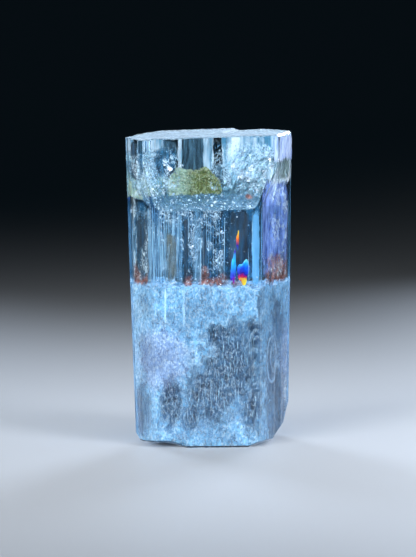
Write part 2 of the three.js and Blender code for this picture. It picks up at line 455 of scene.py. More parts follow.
@dataclass(frozen=True)
class PrismForm:
    """The crystal's outer form, with the CAD part's driving dimensions in millimetres."""

    height: float = 47.0
    front_turn: float = math.radians(5)
    front_left_corner: Pair = (-8.5, -8.3)
    front_width: float = 16.36
    right_width: float = 10.65
    back_right_width: float = 6.6
    left_width: float = 6.1
    half_width: float = 12.0
    # Two normals at a 120 degree corner, added, are this many insets long along the inset
    corner_sum: float = 1.5
    taper_level: float = 25.0
    taper_left: Pair = (-0.075, 0.055)
    taper_right: Pair = (-0.02, 0.01)
    flare_levels: Pair = (35.5, 43.5)
    flare_right: float = 2.5
    flare_left: float = 1.0
    top_slope: float = 0.028
    top_step: float = 0.3
    step_side: Pair = (2.9, 1.6)
    step_front: Pair = (-2, 1)
    step_skew: float = 0.25
    top_bend: Unevenness = Unevenness(1.2, 3.1, 3.1, 5)
    top_ripples: Unevenness = Unevenness(0.035, 1.2, 0.7, 3)
    fine_ripples: Unevenness = Unevenness(0.03, 0.6, 0.4, 4)
    top_hollows: Unevenness = Unevenness(1.0, 1.3, 1.3, 6)
    hollow_least: float = 0.3
    hollow_depth: float = 0.2
    top_grain: Unevenness = Unevenness(0.03, 0.32, 0.32, 7)
    # Heights of what has broken away from the base, and the ends between which it rises
    left_break: float = 1.2
    left_break_ends: Pair = (-2.0, -13.5)
    left_break_back: Pair = (4.5, -2.5)
    back_break: float = 0.9
    back_break_ends: Pair = (5.2, 7.8)
    front_shell: float = 0.1
    front_shell_ends: Pair = (-5.6, -7.6)
    shell_height: float = 0.34
    shell_drop: float = 0.26
    base_grain: float = 0.05
    base_grains_per_mm: float = 2.3
    chips: tuple[Chip, ...] = (
        Chip(11.35, 1.6, 3.1, 8, 108, 0.1),
        Chip(10.55, 1.2, 1.75, 2, 132, 0.12),
        Chip(8.9, -3.0, 0.42, -28, 150, 0.08),
        Chip(-10.7, -3.2, 0.9, 188, 118, 0.08),
    )

    def widths(self) -> np.ndarray:
        """Work out the face widths: the two hidden ones close the outline.

        Returns:
            (6,) widths in the order of Face.
        """
        back_left = self.right_width + self.back_right_width - self.left_width
        back = self.front_width + self.right_width - back_left
        return np.array([self.front_width, self.right_width, self.back_right_width, back,
                         back_left, self.left_width])

    def directions(self) -> tuple[np.ndarray, np.ndarray]:
        """Turn the front face's direction by 60 degrees from face to face.

        Returns:
            (6, 2) unit directions along the outline, and (6, 2) outward normals.
        """
        angles = self.front_turn + np.arange(6) * np.pi / 3
        along = np.stack([np.cos(angles), np.sin(angles)], axis=-1)
        outward = np.stack([along[:, 1], -along[:, 0]], axis=-1)
        return along, outward

    def corners(self, inset: float = 0.0) -> np.ndarray:
        """Walk round the faces' widths and draw the corners in by an even inset.

        Args:
            inset: how far inside the surface, in millimetres.

        Returns:
            (6, 2) plan points.
        """
        along, outward = self.directions()
        steps = along * self.widths()[:, None]
        start = np.array(self.front_left_corner)
        plain = start + np.concatenate([np.zeros((1, 2)), np.cumsum(steps, axis=0)[:-1]])
        inward = (outward + np.roll(outward, 1, axis=0)) / self.corner_sum
        return plain - inset * inward

    def stations(self, count: int) -> np.ndarray:
        """Spread places evenly round the outline, with one at each corner.

        Args:
            count: about how many places.

        Returns:
            (n,) places: each is the face's number plus the share of its width.
        """
        widths = self.widths()
        shares = np.maximum(2, np.rint(count * widths / widths.sum())).astype(int)
        return np.concatenate([i + np.arange(n) / n for i, n in enumerate(shares)])

    def plan(self, places: np.ndarray, level: np.ndarray, inset: float = 0.0) -> np.ndarray:
        """Return the smooth outline at each level: the tapered, flared hexagon.

        Args:
            places: places round the outline, as stations() gives them.
            level: heights in millimetres, broadcast with places.
            inset: how far inside the surface, in millimetres.

        Returns:
            (..., 2) plan points.
        """
        places, level = np.broadcast_arrays(places, level)
        face = np.floor(places).astype(int) % 6
        share = (places - np.floor(places))[..., None]
        corners = self.corners(inset)
        points = corners[face] * (1 - share) + corners[(face + 1) % 6] * share
        return self.taper(self.flare(points, level), level)

    def inside(self, x: np.ndarray, y: np.ndarray, level: float, inset: float) -> np.ndarray:
        """Test plan points against the six sides of the outline at one level.

        Args:
            x: plan coordinate along the width.
            y: plan coordinate along the depth.
            level: the outline's level.
            inset: how far inside the surface the test outline lies, in millimetres.

        Returns:
            True where a point is left of every side.
        """
        corners = self.plan(np.arange(6.0), np.full(6, level), inset)
        ahead = np.roll(corners, -1, axis=0)
        left = [(b[0] - a[0]) * (y - a[1]) - (b[1] - a[1]) * (x - a[0]) > 0
                for a, b in zip(corners, ahead)]
        return np.all(left, axis=0)

    def flare(self, points: np.ndarray, level: np.ndarray) -> np.ndarray:
        """Slant the two front corners outwards above the clear window, along the front face.

        Args:
            points: (..., 2) plan points.
            level: their levels.

        Returns:
            The moved points: by less the further they are from the corner that moves.
        """
        along, _ = self.directions()
        corners = self.corners()
        rise = smooth(*self.flare_levels, level)
        from_left = (points - corners[0]) @ along[Face.FRONT.value]
        past_right = (points - corners[1]) @ along[Face.RIGHT.value]
        past_left = -(points - corners[0]) @ along[Face.LEFT.value]
        share = np.clip(from_left / self.front_width, 0, 1)
        right = share * np.clip(1 - past_right / self.right_width, 0, 1)
        left = (1 - share) * np.clip(1 - past_left / self.left_width, 0, 1)
        shift = rise * (self.flare_right * right - self.flare_left * left)
        return points + shift[..., None] * along[Face.FRONT.value]

    def taper(self, points: np.ndarray, level: np.ndarray) -> np.ndarray:
        """Draw the two side corners in towards the base and out a little towards the top.

        Args:
            points: (..., 2) plan points.
            level: their levels.

        Returns:
            The moved points: by a share that grows with the distance from the middle.
        """
        down = np.clip((self.taper_level - level) / self.taper_level, 0, None)
        up = np.clip((level - self.taper_level) / (self.height - self.taper_level), 0, None)
        left = self.taper_left[0] * down + self.taper_left[1] * up
        right = self.taper_right[0] * down + self.taper_right[1] * up
        x = points[..., 0]
        share = np.where(x < 0, left, right)
        moved = x + share * x * np.abs(x) / self.half_width
        return np.stack([moved, points[..., 1]], axis=-1)

    def top_height(self, x: np.ndarray, y: np.ndarray) -> np.ndarray:
        """Return the etched top: a slope, a low plateau behind, uneven ripples, pits and grain.

        The ripples are soft noise drawn out along the front face, bent by a slower noise.

        Args:
            x: plan coordinate along the width.
            y: plan coordinate along the depth.

        Returns:
            Levels in millimetres.
        """
        plateau = (self.top_step * smooth(*self.step_side, x - self.step_skew * y)
                   * smooth(*self.step_front, y))
        bend = self.top_bend.at(x, y)
        ripples = self.top_ripples.at(x, y, bend, bend)
        fine = self.fine_ripples.at(x, y, 0.0, bend)
        hollow = np.clip(self.top_hollows.at(x, y) - self.hollow_least, 0, None)
        return (self.height + self.top_slope * x + plateau + ripples + fine
                + self.top_grain.at(x, y) - self.hollow_depth * hollow)

    def base_height(self, x: np.ndarray, y: np.ndarray) -> np.ndarray:
        """Return the broken base: flat where it stands, with shells broken away around it.

        Slopes at the left front and the back, crossed waves for the shells, grain and the
        chipped corners are added up, and what falls below the flat middle is cut off.

        Args:
            x: plan coordinate along the width.
            y: plan coordinate along the depth.

        Returns:
            Levels in millimetres.
        """
        left_front = (self.left_break * smooth(*self.left_break_ends, x + 0.35 * y)
                      * smooth(*self.left_break_back, y))
        back = self.back_break * smooth(*self.back_break_ends, y - 0.3 * np.abs(x - 4))
        front_shell = (self.front_shell * smooth(*self.front_shell_ends, y)
                       * (0.5 + 0.5 * np.sin(0.95 * x + 0.4)))
        waves = np.sin(0.62 * x + 0.5 * y) * np.sin(0.5 * y - 0.3 * x + 1)
        shells = self.shell_height * waves - self.shell_drop
        relief = np.clip(left_front + back + front_shell + shells, 0, None)
        grain = self.base_grain * value_noise(8, x * self.base_grains_per_mm,
                                              y * self.base_grains_per_mm)
        relief = relief + np.clip(grain, 0, None)
        for chip in self.chips:
            relief = np.maximum(relief, chip.height(x, y))
        return relief


@dataclass(frozen=True)
class Striations:
    """Growth striations: flat strips up each face, whose depths and lengths vary."""

    periods: tuple[float, ...] = (1.9, 0.62)
    depths: tuple[float, ...] = (0.17, 0.05)
    fade: float = 2.5
    # The share of its depth that a strip loses where it dies out
    fade_share: float = 0.8
    # Where strips may end, as the first share of the height and the range above it
    end_shares: Pair = (0.1, 1.2)
    face_weights: tuple[float, ...] = (0.35, 0.8, 1.0, 0.7, 1.0, 1.0)
    edge: float = 0.25
    stagger: float = 0.37
    # The share of a strip at which the narrow wall to the next one starts
    wall_start: float = 0.82
    depth_power: float = 1.6
    face_seed: int = 41
    layer_seed: int = 173

    def depth(self, form: PrismForm, places: np.ndarray, level: np.ndarray) -> np.ndarray:
        """Return how far each surface point lies below its ideal face.

        Each strip is a cell along the face with a depth of its own down to a level where it dies
        out; a narrow smooth wall joins it to the next.

        Args:
            form: the prism.
            places: places round its outline.
            level: heights in millimetres, broadcast with places.

        Returns:
            Depths in millimetres.
        """
        face = np.floor(places).astype(int) % 6
        share = places - np.floor(places)
        width = form.widths()[face]
        distance = share * width
        edge = smooth(0.0, self.edge, distance) * smooth(0.0, self.edge, width - distance)
        total = np.zeros(np.broadcast(places, level).shape)
        for number, (period, deepest) in enumerate(zip(self.periods, self.depths)):
            cell = np.floor(distance / period + self.stagger * number)
            inside = distance / period + self.stagger * number - cell
            wall = smooth(self.wall_start, 1.0, inside)
            strips = []
            for step in (0, 1):
                seed = cell + step + self.face_seed * face + self.layer_seed * number
                ends = form.height * (self.end_shares[0] + self.end_shares[1] * scatter(seed + 0.3))
                fade = 1 - self.fade_share * smooth(-self.fade, self.fade, level - ends)
                strips.append(scatter(seed) ** self.depth_power * fade)
            total = total + deepest * (strips[0] * (1 - wall) + strips[1] * wall)
        return total * np.array(self.face_weights)[face] * edge


@dataclass
class ClearCrystal:
    """The whole clear outside of the crystal, which stands for its CAD solid."""

    form: PrismForm
    striations: Striations
    rim: float = 0.32
    # How far round its quarter circle the rim goes at most
    rim_share: float = 0.96
    around: int = 340
    levels: int = 140
    rings: int = 72

    def wall(self, places: np.ndarray, level: np.ndarray) -> np.ndarray:
        """Return the striated surface, drawn in along a quarter circle at the top rim.

        Args:
            places: places round the outline.
            level: heights in millimetres, broadcast with places.

        Returns:
            (..., 3) points.
        """
        _, outward = self.form.directions()
        depth = self.striations.depth(self.form, places, level)
        face = np.floor(np.broadcast_to(places, depth.shape)).astype(int) % 6
        below_rim = self.form.height + self.form.top_step / 2 - level
        hidden = np.clip(1 - below_rim / self.rim, 0, 1)
        rounded = self.rim * (1 - np.sqrt(1 - self.rim_share * hidden ** 2))
        plan = self.form.plan(places, level) - depth[..., None] * outward[face]
        middle = plan.mean(axis=-2, keepdims=True)
        plan = middle + (plan - middle) * (1 - rounded / self.form.half_width)[..., None]
        return raised(plan, level)

    def build(self, finish: bpy.types.Material) -> bpy.types.Object:
        """Make the piece in place of the CAD crystal; light passes it, as it does clear beryl.

        Args:
            finish: clear beryl.

        Returns:
            The mesh object.
        """
        rings = column(self.wall, self.form.stations(self.around), self.form.base_height,
                       self.form.top_height, self.form.height, self.levels, self.rings)
        piece = skin("clear_aquamarine", rings, finish, True)
        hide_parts("aquamarine_crystal")
        return piece


@dataclass
class MilkyZone:
    """One sheet of the milky growth zone that fills the lower half, just under the clear skin.

    Its wall follows the prism at an even inset with a slow unevenness, and its upper face is a
    nearly level growth surface with low hummocks. Veils of fluid pockets lie nested round an
    inner, denser part.
    """

    name: str
    form: PrismForm
    inset: float
    level: float
    lift: float
    wall_height: float = 0.12
    wall_cells: Triple = (1.6, 1.6, 2.8)
    wall_seed: float = 21.0
    hummocks: Unevenness = Unevenness(0.55, 1.7, 2.2, 31)
    grain: Unevenness = Unevenness(0.30, 0.5, 0.6, 32)
    around: int = 240
    levels: int = 90
    rings: int = 24

    def wall(self, places: np.ndarray, level: np.ndarray) -> np.ndarray:
        """Return the zone's wall: the inset outline, moved in and out by soft noise.

        Args:
            places: places round the outline.
            level: heights in millimetres, broadcast with places.

        Returns:
            (..., 3) points.
        """
        plan = self.form.plan(places, level, self.inset)
        cells = self.wall_cells
        uneven = self.wall_height * value_noise(
            self.wall_seed + self.inset, plan[..., 0] / cells[0], plan[..., 1] / cells[1],
            level / cells[2])
        return raised(plan * (1 + uneven[..., None] / self.form.half_width), level)

    def foot(self, x: np.ndarray, y: np.ndarray) -> np.ndarray:
        """Return the lower face: the broken base, lifted a little."""
        return self.form.base_height(x, y) + self.lift

    def head(self, x: np.ndarray, y: np.ndarray) -> np.ndarray:
        """Return the upper face: a growth surface with low hummocks and fine grain."""
        return self.level + self.hummocks.at(x, y) + self.grain.at(x, y)

    def build(self, finish: bpy.types.Material) -> bpy.types.Object:
        """Make the piece from its wall and its two ends.

        Args:
            finish: the zone's milky material.

        Returns:
            The mesh object.
        """
        rings = column(self.wall, self.form.stations(self.around), self.foot, self.head,
                       self.level, self.levels, self.rings)
        return skin(self.name, rings, finish)


@dataclass(frozen=True)
class Curtain:
    """A thin upright sheet, wavy in plan, between two plan points and two levels: a healed crack, a
    stain, or a dark sheet of painted shade.
    """

    name: str
    start: Pair
    end: Pair
    levels: Pair
    wave: float = 0.25
    # How wide the band along its two sides is in which the film thins out
    soft: float = 0.8
    soft_height: float = 1.2
    wave_length: float = 3.0
    wave_height: float = 4.5
    ragged: float = 0.4
    side_share: float = 0.35
    fray_width: float = 0.6
    fray_height: float = 0.9
    thickness: float = 0.05
    cell: float = 0.3
    tall_cell: float = 0.48

    def build(self, finish: bpy.types.Material) -> bpy.types.Object:
        """Make the piece: a straight line in plan, waved by soft noise, carried upwards.

        Its four edges fray by the same noise, more towards the ends, and the attribute "border"
        falls to 0 there, which thins the film out.

        Args:
            finish: the film's material.

        Returns:
            The mesh object.
        """
        start = np.array(self.start)
        end = np.array(self.end)
        length = np.linalg.norm(end - start)
        height = self.levels[1] - self.levels[0]
        columns = max(6, int(length / self.cell))
        rows = max(6, int(height / self.tall_cell))
        upright = np.linspace(*self.levels, rows)
        share, level = np.meshgrid(np.linspace(0, 1, columns), upright)
        plan = start + (end - start) * share[..., None]
        side = np.array([-(end - start)[1], (end - start)[0]]) / length
        seed = abs(start[0] * 3.1 + start[1] * 1.7) + 5
        offset = self.wave * value_noise(seed, share * length / self.wave_length,
                                         level / self.wave_height)
        frayed = value_noise(seed, share * length / self.fray_width)
        level = level + self.ragged * frayed * (2 * (level - self.levels[0]) / height - 1) ** 3
        uneven = value_noise(seed + 3, level / self.fray_height)
        edge = self.side_share * self.ragged * uneven * (2 * share - 1) ** 3
        plan = plan + offset[..., None] * side + (edge / length)[..., None] * (end - start)
        piece = upright_sheet(self.name, raised(plan, level), self.thickness, finish)
        from_side = (0.5 - np.abs(share - 0.5)) * length
        from_end = height / 2 - np.abs(upright[:, None] - sum(self.levels) / 2)
        border = smooth(0, self.soft, from_side) * smooth(0, self.soft_height, from_end)
        both = np.concatenate([border, border[:, ::-1]], axis=1).ravel()
        worn = piece.data.attributes.new("border", "FLOAT", "POINT")
        worn.data.foreach_set("value", both.astype(np.float32))
        return piece


@dataclass
class HealedBowl:
    """The curved healed crack under the clear top: a shallow trough across the prism.

    Its middle is nearly level and climbs a little towards the back, and its two ends rise
    steeply to the sides, so that its edge follows the slanting front corners.
    """

    form: PrismForm
    inset: float = 0.5
    # The level whose outline the crack fills
    outline_level: float = 39.0
    bottom: float = 35.8
    back_climb: float = 2.8
    side_rise: float = 6.4
    front: float = -8.0
    depth: float = 15.5
    left_front: Pair = (-7.6, -10.4)
    left_back: Pair = (-5.6, -8.4)
    right_front: Pair = (7.4, 10.8)
    right_back: Pair = (-1.5, 3.8)
    rib_centre: Pair = (8.5, 6.0)
    rib_height: float = 0.13
    ribs_per_mm: float = 5.2
    steps: Unevenness = Unevenness(0.30, 1.5, 1.2, 51)
    fine: Unevenness = Unevenness(0.12, 0.45, 0.45, 52)
    thickness: float = 0.08
    around: int = 260
    rings: int = 100
    # The plan box in which flakes are scattered, and how far off the crack they lie
    flake_x: Pair = (-10.4, 21.0)
    flake_y: Pair = (-7.6, 14.6)
    flake_lift: Pair = (0.5, 0.35)

    def rises(self, x: np.ndarray, y: np.ndarray) -> tuple[np.ndarray, np.ndarray, np.ndarray]:
        """Work out how far up each side of the bowl a plan point is.

        The rises start near the sides in front and nearer the middle behind, so that the bowl
        opens to the front.

        Args:
            x: plan coordinate along the width.
            y: plan coordinate along the depth.

        Returns:
            The share of the way back, the left rise and the right rise, each from 0 to 1.
        """
        back = np.clip((y - self.front) / self.depth, 0, 1)
        rises = []
        for front_ends, back_ends in ((self.left_front, self.left_back),
                                      (self.right_front, self.right_back)):
            start = between(front_ends[0], back_ends[0], back)
            end = between(front_ends[1], back_ends[1], back)
            rises.append(smooth(0.0, 1.0, (x - start) / (end - start)))
        return back, rises[0], rises[1]

    def height(self, x: np.ndarray, y: np.ndarray) -> np.ndarray:
        """Return the crack's level: bottom, plus a back climb, plus two smooth side rises.

        Conchoidal ribs lie in rings round a point behind its right end.

        Args:
            x: plan coordinate along the width.
            y: plan coordinate along the depth.

        Returns:
            Levels in millimetres.
        """
        back, left, right = self.rises(x, y)
        away = np.hypot(x - self.rib_centre[0], (y - self.rib_centre[1]) * 0.8)
        ribs = (self.rib_height * np.sin(away * self.ribs_per_mm + np.sin(0.7 * x))
                * (0.1 + left + right))
        return (self.bottom + self.back_climb * back + self.side_rise * (left + right)
                + ribs + self.steps.at(x, y) * (0.4 + left + right) + self.fine.at(x, y))

    def build(self, finish: bpy.types.Material) -> bpy.types.Object:
        """Make the piece: the outline at the crack's own level, shrunk ring by ring.

        Args:
            finish: the film's material.

        Returns:
            The mesh object.
        """
        places = self.form.stations(self.around)
        outline = self.form.plan(places, np.full_like(places, self.outline_level), self.inset)
        return level_sheet("healed_bowl_crack", outline, self.height,
                           (self.thickness / 2, -self.thickness / 2), self.rings, finish)

    def flake_places(self, count: int) -> np.ndarray:
        """Scatter points on the crack, more of them on its slopes and its edge.

        Args:
            count: how many points at most.

        Returns:
            (n, 3) points.
        """
        number = np.arange(4 * count)
        x = self.flake_x[0] + self.flake_x[1] * scatter(number + 0.07)
        y = self.flake_y[0] + self.flake_y[1] * scatter(number + 0.37)
        _, left, right = self.rises(x, y)
        slope = left + right
        likely = 0.10 + 1.2 * slope * (1.05 - slope) * (x < -4) + 0.4 * smooth(-6.6, -7.4, y)
        likely = likely + 0.25 * (slope > 0.9)
        inside = self.form.inside(x, y, self.outline_level, 0.6)
        keep = np.flatnonzero(inside & (scatter(number + 0.83) < likely))[:count]
        x, y = x[keep], y[keep]
        lift = self.flake_lift[0] * (scatter(keep + 0.19) - self.flake_lift[1])
        return np.stack([x, y, self.height(x, y) + lift], axis=-1)


@dataclass
class FrostedTop:
    """The finely pitted skin of the top, which blurs all that lies under it."""

    form: PrismForm
    inset: float = 0.35
    depth: float = 0.16
    thickness: float = 0.06
    around: int = 200
    rings: int = 40

    def build(self, finish: bpy.types.Material) -> bpy.types.Object:
        """Make the piece: the top's relief, let down a little, as a thin closed sheet.

        Args:
            finish: the film's material.

        Returns:
            The mesh object.
        """
        places = self.form.stations(self.around)
        outline = self.form.plan(places, np.full_like(places, self.form.height), self.inset)
        return level_sheet("frosted_top", outline, self.form.top_height,
                           (-self.depth, -self.depth - self.thickness), self.rings, finish)


@dataclass(frozen=True)
class Flakes:
    """A crowd of tiny flat cleavage flakes and fluid films, each a thin six-sided plate."""

    name: str
    sizes: Pair = (0.10, 0.34)
    thickness: float = 0.035
    tilt_seed: float = 0.0
    narrow: float = 0.7
    # A corner's least distance from the middle and the range above it, in half sizes
    waver: Pair = (0.7, 0.5)

    def build(self, places: np.ndarray, finish: bpy.types.Material) -> bpy.types.Object:
        """Make the piece: a wavering hexagon with two faces at each place, turned by scatter.

        Args:
            places: (n, 3) points in the prism's own millimetres.
            finish: the flakes' material.

        Returns:
            The mesh object.
        """
        number = np.arange(len(places)) + self.tilt_seed
        size = between(*self.sizes, scatter(number + 0.23) ** 3)
        cos, sin = circle(6)
        waver = scatter(number[:, None] * 6 + np.arange(6) + 0.61)
        waver = self.waver[0] + self.waver[1] * waver
        ring = np.stack([cos * waver, self.narrow * sin * waver], axis=-1)
        ring = ring * size[:, None, None]
        flat = np.broadcast_to(ring[:, None], (len(places), 2, 6, 2))
        levels = np.array([-0.5, 0.5]) * self.thickness
        plates = turned(raised(flat, levels[None, :, None]), number)
        return many_skins(self.name, plates + places[:, None, None, :], finish)


@dataclass(frozen=True)
class Needles:
    """A crowd of fine upright needles or hollow growth tubes, parallel to the prism."""

    name: str
    radii: Pair = (0.015, 0.06)
    lengths: Pair = (2.5, 12.0)
    ceiling: float = 36.2
    sway: float = 0.04
    # A needle's radius at its ends and the range above it, as shares, and the swell's power
    swell: Triple = (0.35, 0.65, 0.6)
    sides: int = 5
    levels: int = 5

    def build(self, places: np.ndarray, finish: bpy.types.Material) -> bpy.types.Object:
        """Make the piece: circles up each needle, whose radius swells and fades.

        Args:
            places: (n, 3) feet of the needles in the prism's own millimetres.
            finish: the needles' material.

        Returns:
            The mesh object.
        """
        number = np.arange(len(places))
        low = places[:, 2]
        long = between(*self.lengths, scatter(number + 0.59) ** 1.5)
        high = np.minimum(self.ceiling, low + long)
        radius = between(*self.radii, scatter(number + 0.71) ** 3)
        share = np.linspace(0, 1, self.levels)
        swell = self.swell[0] + self.swell[1] * np.sin(np.pi * share) ** self.swell[2]
        ring = np.stack(circle(self.sides), axis=-1)
        sway = self.sway * np.sin(3 * share[None] + number[:, None])
        centre = np.stack([places[:, :1] + sway, np.broadcast_to(places[:, 1:2], sway.shape)],
                          axis=-1)
        plan = centre[:, :, None] + ring * (radius[:, None] * swell)[..., None, None]
        level = between(low[:, None], high[:, None], share)
        return many_skins(self.name, raised(plan, level[..., None]), finish)


@dataclass
class InterferenceCrack:
    """One lobe of the thin crack whose film of air shows interference colours.

    It is a lens of the given half sizes, thin and slightly dished, facing the front, with an
    outline that wavers.
    """

    name: str
    centre: Triple
    half_width: float
    half_height: float
    lean: float
    wavers: Pair = (0.16, 0.10)
    dish: float = 0.35
    around: int = 48
    rings: int = 14
    thickness: float = 0.07

    def build(self, finish: bpy.types.Material) -> bpy.types.Object:
        """Make the piece: circles shrunk to a point on both sides of a dished oval.

        Args:
            finish: the film's material.

        Returns:
            The mesh object.
        """
        angle = np.arange(self.around) / self.around * 2 * np.pi
        waver = (1 + self.wavers[0] * np.sin(3 * angle + self.centre[0])
                 + self.wavers[1] * np.sin(5 * angle + 1))
        share = np.linspace(0.03, 1, self.rings)[:, None]
        x = self.half_width * share * waver * np.cos(angle)
        z = self.half_height * share * waver * np.sin(angle)
        dish = self.dish * (x / self.half_width) ** 2 * self.half_width * 0.5
        bulge = self.thickness / 2 * np.sqrt(np.clip(1.02 - share ** 2, 0, 1)) + 0 * x
        front, back = (np.stack([x + self.lean * z, dish + sign * bulge, z], axis=-1)
                       + np.array(self.centre) for sign in (1, -1))
        return skin(self.name, np.concatenate([front, back[::-1]]), finish)


@dataclass
class YellowCluster:
    """The granular cluster of yellow mineral in the back face, in place of its CAD solid.

    A core with the CAD outline is crowded with small blocky crystals. Local x runs along the back
    face, local y outwards, and z up.
    """

    form: PrismForm
    width: float = 8.2
    height: float = 4.3
    depth: float = 4.4
    proud: float = 0.35
    centre_x: float = -2.2
    bottom: float = 37.6
    outline: tuple[Pair, ...] = (
        (0.00, 0.24), (0.06, 0.04), (0.50, 0.00), (0.90, 0.04), (1.00, 0.24), (0.97, 0.48),
        (0.89, 0.66), (0.79, 0.88), (0.70, 1.00), (0.61, 0.88), (0.46, 0.86), (0.30, 0.92),
        (0.15, 0.94), (0.06, 0.74), (0.01, 0.50))
    columns: int = 30
    rows: int = 15
    ranks: int = 9
    # A small crystal's least half width and the range above it
    sizes: Pair = (0.14, 0.18)
    # Its length in widths: the least and the range above it
    stretch: Pair = (1.1, 1.3)
    tilt: float = 1.3
    # A small crystal's profile: levels, and half widths at them, in half sizes
    profile: tuple[Pair, ...] = ((-1.0, 0.62), (-0.82, 1.0), (0.82, 1.0), (1.0, 0.55))
    core_share: float = 0.88
    core_middle: float = 0.45
    core_around: int = 60
    core_levels: int = 10

    def place(self, points: np.ndarray) -> np.ndarray:
        """Turn local points into the prism's own frame, on the back face.

        Args:
            points: (..., 3) local points.

        Returns:
            (..., 3) points.
        """
        turn = self.form.front_turn
        _, outward = self.form.directions()
        distance = self.form.corners()[Face.BACK.value] @ outward[Face.BACK.value]
        x = points[..., 0] + self.centre_x
        y = points[..., 1] + distance
        return np.stack([x * math.cos(turn) - y * math.sin(turn),
                         x * math.sin(turn) + y * math.cos(turn),
                         points[..., 2] + self.bottom], axis=-1)

    def top(self, share: np.ndarray) -> np.ndarray:
        """Return the outline's upper edge, as a share of the height, at shares of the width."""
        upper = np.array(self.outline[4:] + self.outline[:1])[::-1]
        return np.interp(share, upper[:, 0], upper[:, 1])

    def crystals(self) -> np.ndarray:
        """Shape the small crystals: squared-off barrels, each turned and placed by scatter.

        They stand in columns, rows and ranks, each moved within its cell, and those that the
        core hides are left out.

        Returns:
            (crystals, rings, points, 3) local points.
        """
        number = np.arange(self.columns * self.rows * self.ranks)
        column = number % self.columns
        row = number // self.columns % self.rows
        rank = number // (self.columns * self.rows)
        share = (column + 0.2 + 0.6 * scatter(number + 0.13)) / self.columns
        size = self.sizes[0] + self.sizes[1] * scatter(number + 0.31) ** 1.5
        top = self.top(share) * self.height - size * 1.3
        up = size * 0.9 + np.clip(top - size * 0.9, 0, None) * (
            row + 0.5 * scatter(number + 0.47)) / (self.rows - 0.5)
        x = (share - 0.5) * (self.width - 2 * size)
        y = -self.depth + size + (self.depth + self.proud - 2.0 * size) * (
            rank + 0.4 * scatter(number + 0.53)) / (self.ranks - 0.6)
        inner = (np.abs(share - 0.5) < 0.36) & (row > 0) & (row < self.rows - 2)
        keep = ~(inner & (rank > 0) & (rank < self.ranks - 1))
        centre = np.stack([x, y, up], axis=-1)[keep]
        size, number = size[keep], number[keep]
        cos, sin = circle(6, 0.5)
        level, wide = np.array(self.profile).T[:, :, None]
        ring = np.stack([cos * wide, sin * wide, np.broadcast_to(level, (len(level), 6))], axis=-1)
        stretch = self.stretch[0] + self.stretch[1] * scatter(number + 0.67)
        longer = np.stack([np.ones_like(stretch), np.ones_like(stretch), stretch], axis=-1)
        rings = ring[None] * size[:, None, None, None] * longer[:, None, None, :]
        return turned(rings, number, self.tilt) + centre[:, None, None, :]

    def core(self) -> np.ndarray:
        """Carry the outline, a little smaller and rounded off at both ends, through the depth.

        Returns:
            (rings, points, 3) local points.
        """
        outline = np.array(self.outline)
        closed = np.concatenate([outline, outline[:1]])
        spread = np.linspace(0, len(outline), self.core_around, endpoint=False)
        x = np.interp(spread, np.arange(len(closed)), closed[:, 0]) - 0.5
        z = np.interp(spread, np.arange(len(closed)), closed[:, 1]) - self.core_middle
        depth = np.linspace(-self.depth + 0.45, -0.1, self.core_levels)[:, None]
        along = np.linspace(-1, 1, self.core_levels)[:, None]
        shrink = self.core_share * (1 - 0.25 * smooth(0.75, 1.0, np.abs(along)))
        return np.stack([x * self.width * shrink, np.broadcast_to(depth, (len(depth), len(x))),
                         (z * shrink + self.core_middle) * self.height], axis=-1)

    def build(self, finish: bpy.types.Material) -> bpy.types.Object:
        """Make the crystals and their core as one piece.

        Args:
            finish: the mineral's material.

        Returns:
            The mesh object.
        """
        crystals = self.place(self.crystals())
        piece = many_skins("yellow_mineral", crystals, finish,
                           extra=self.place(self.core()))
        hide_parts("yellow_mineral_inclusion")
        return piece


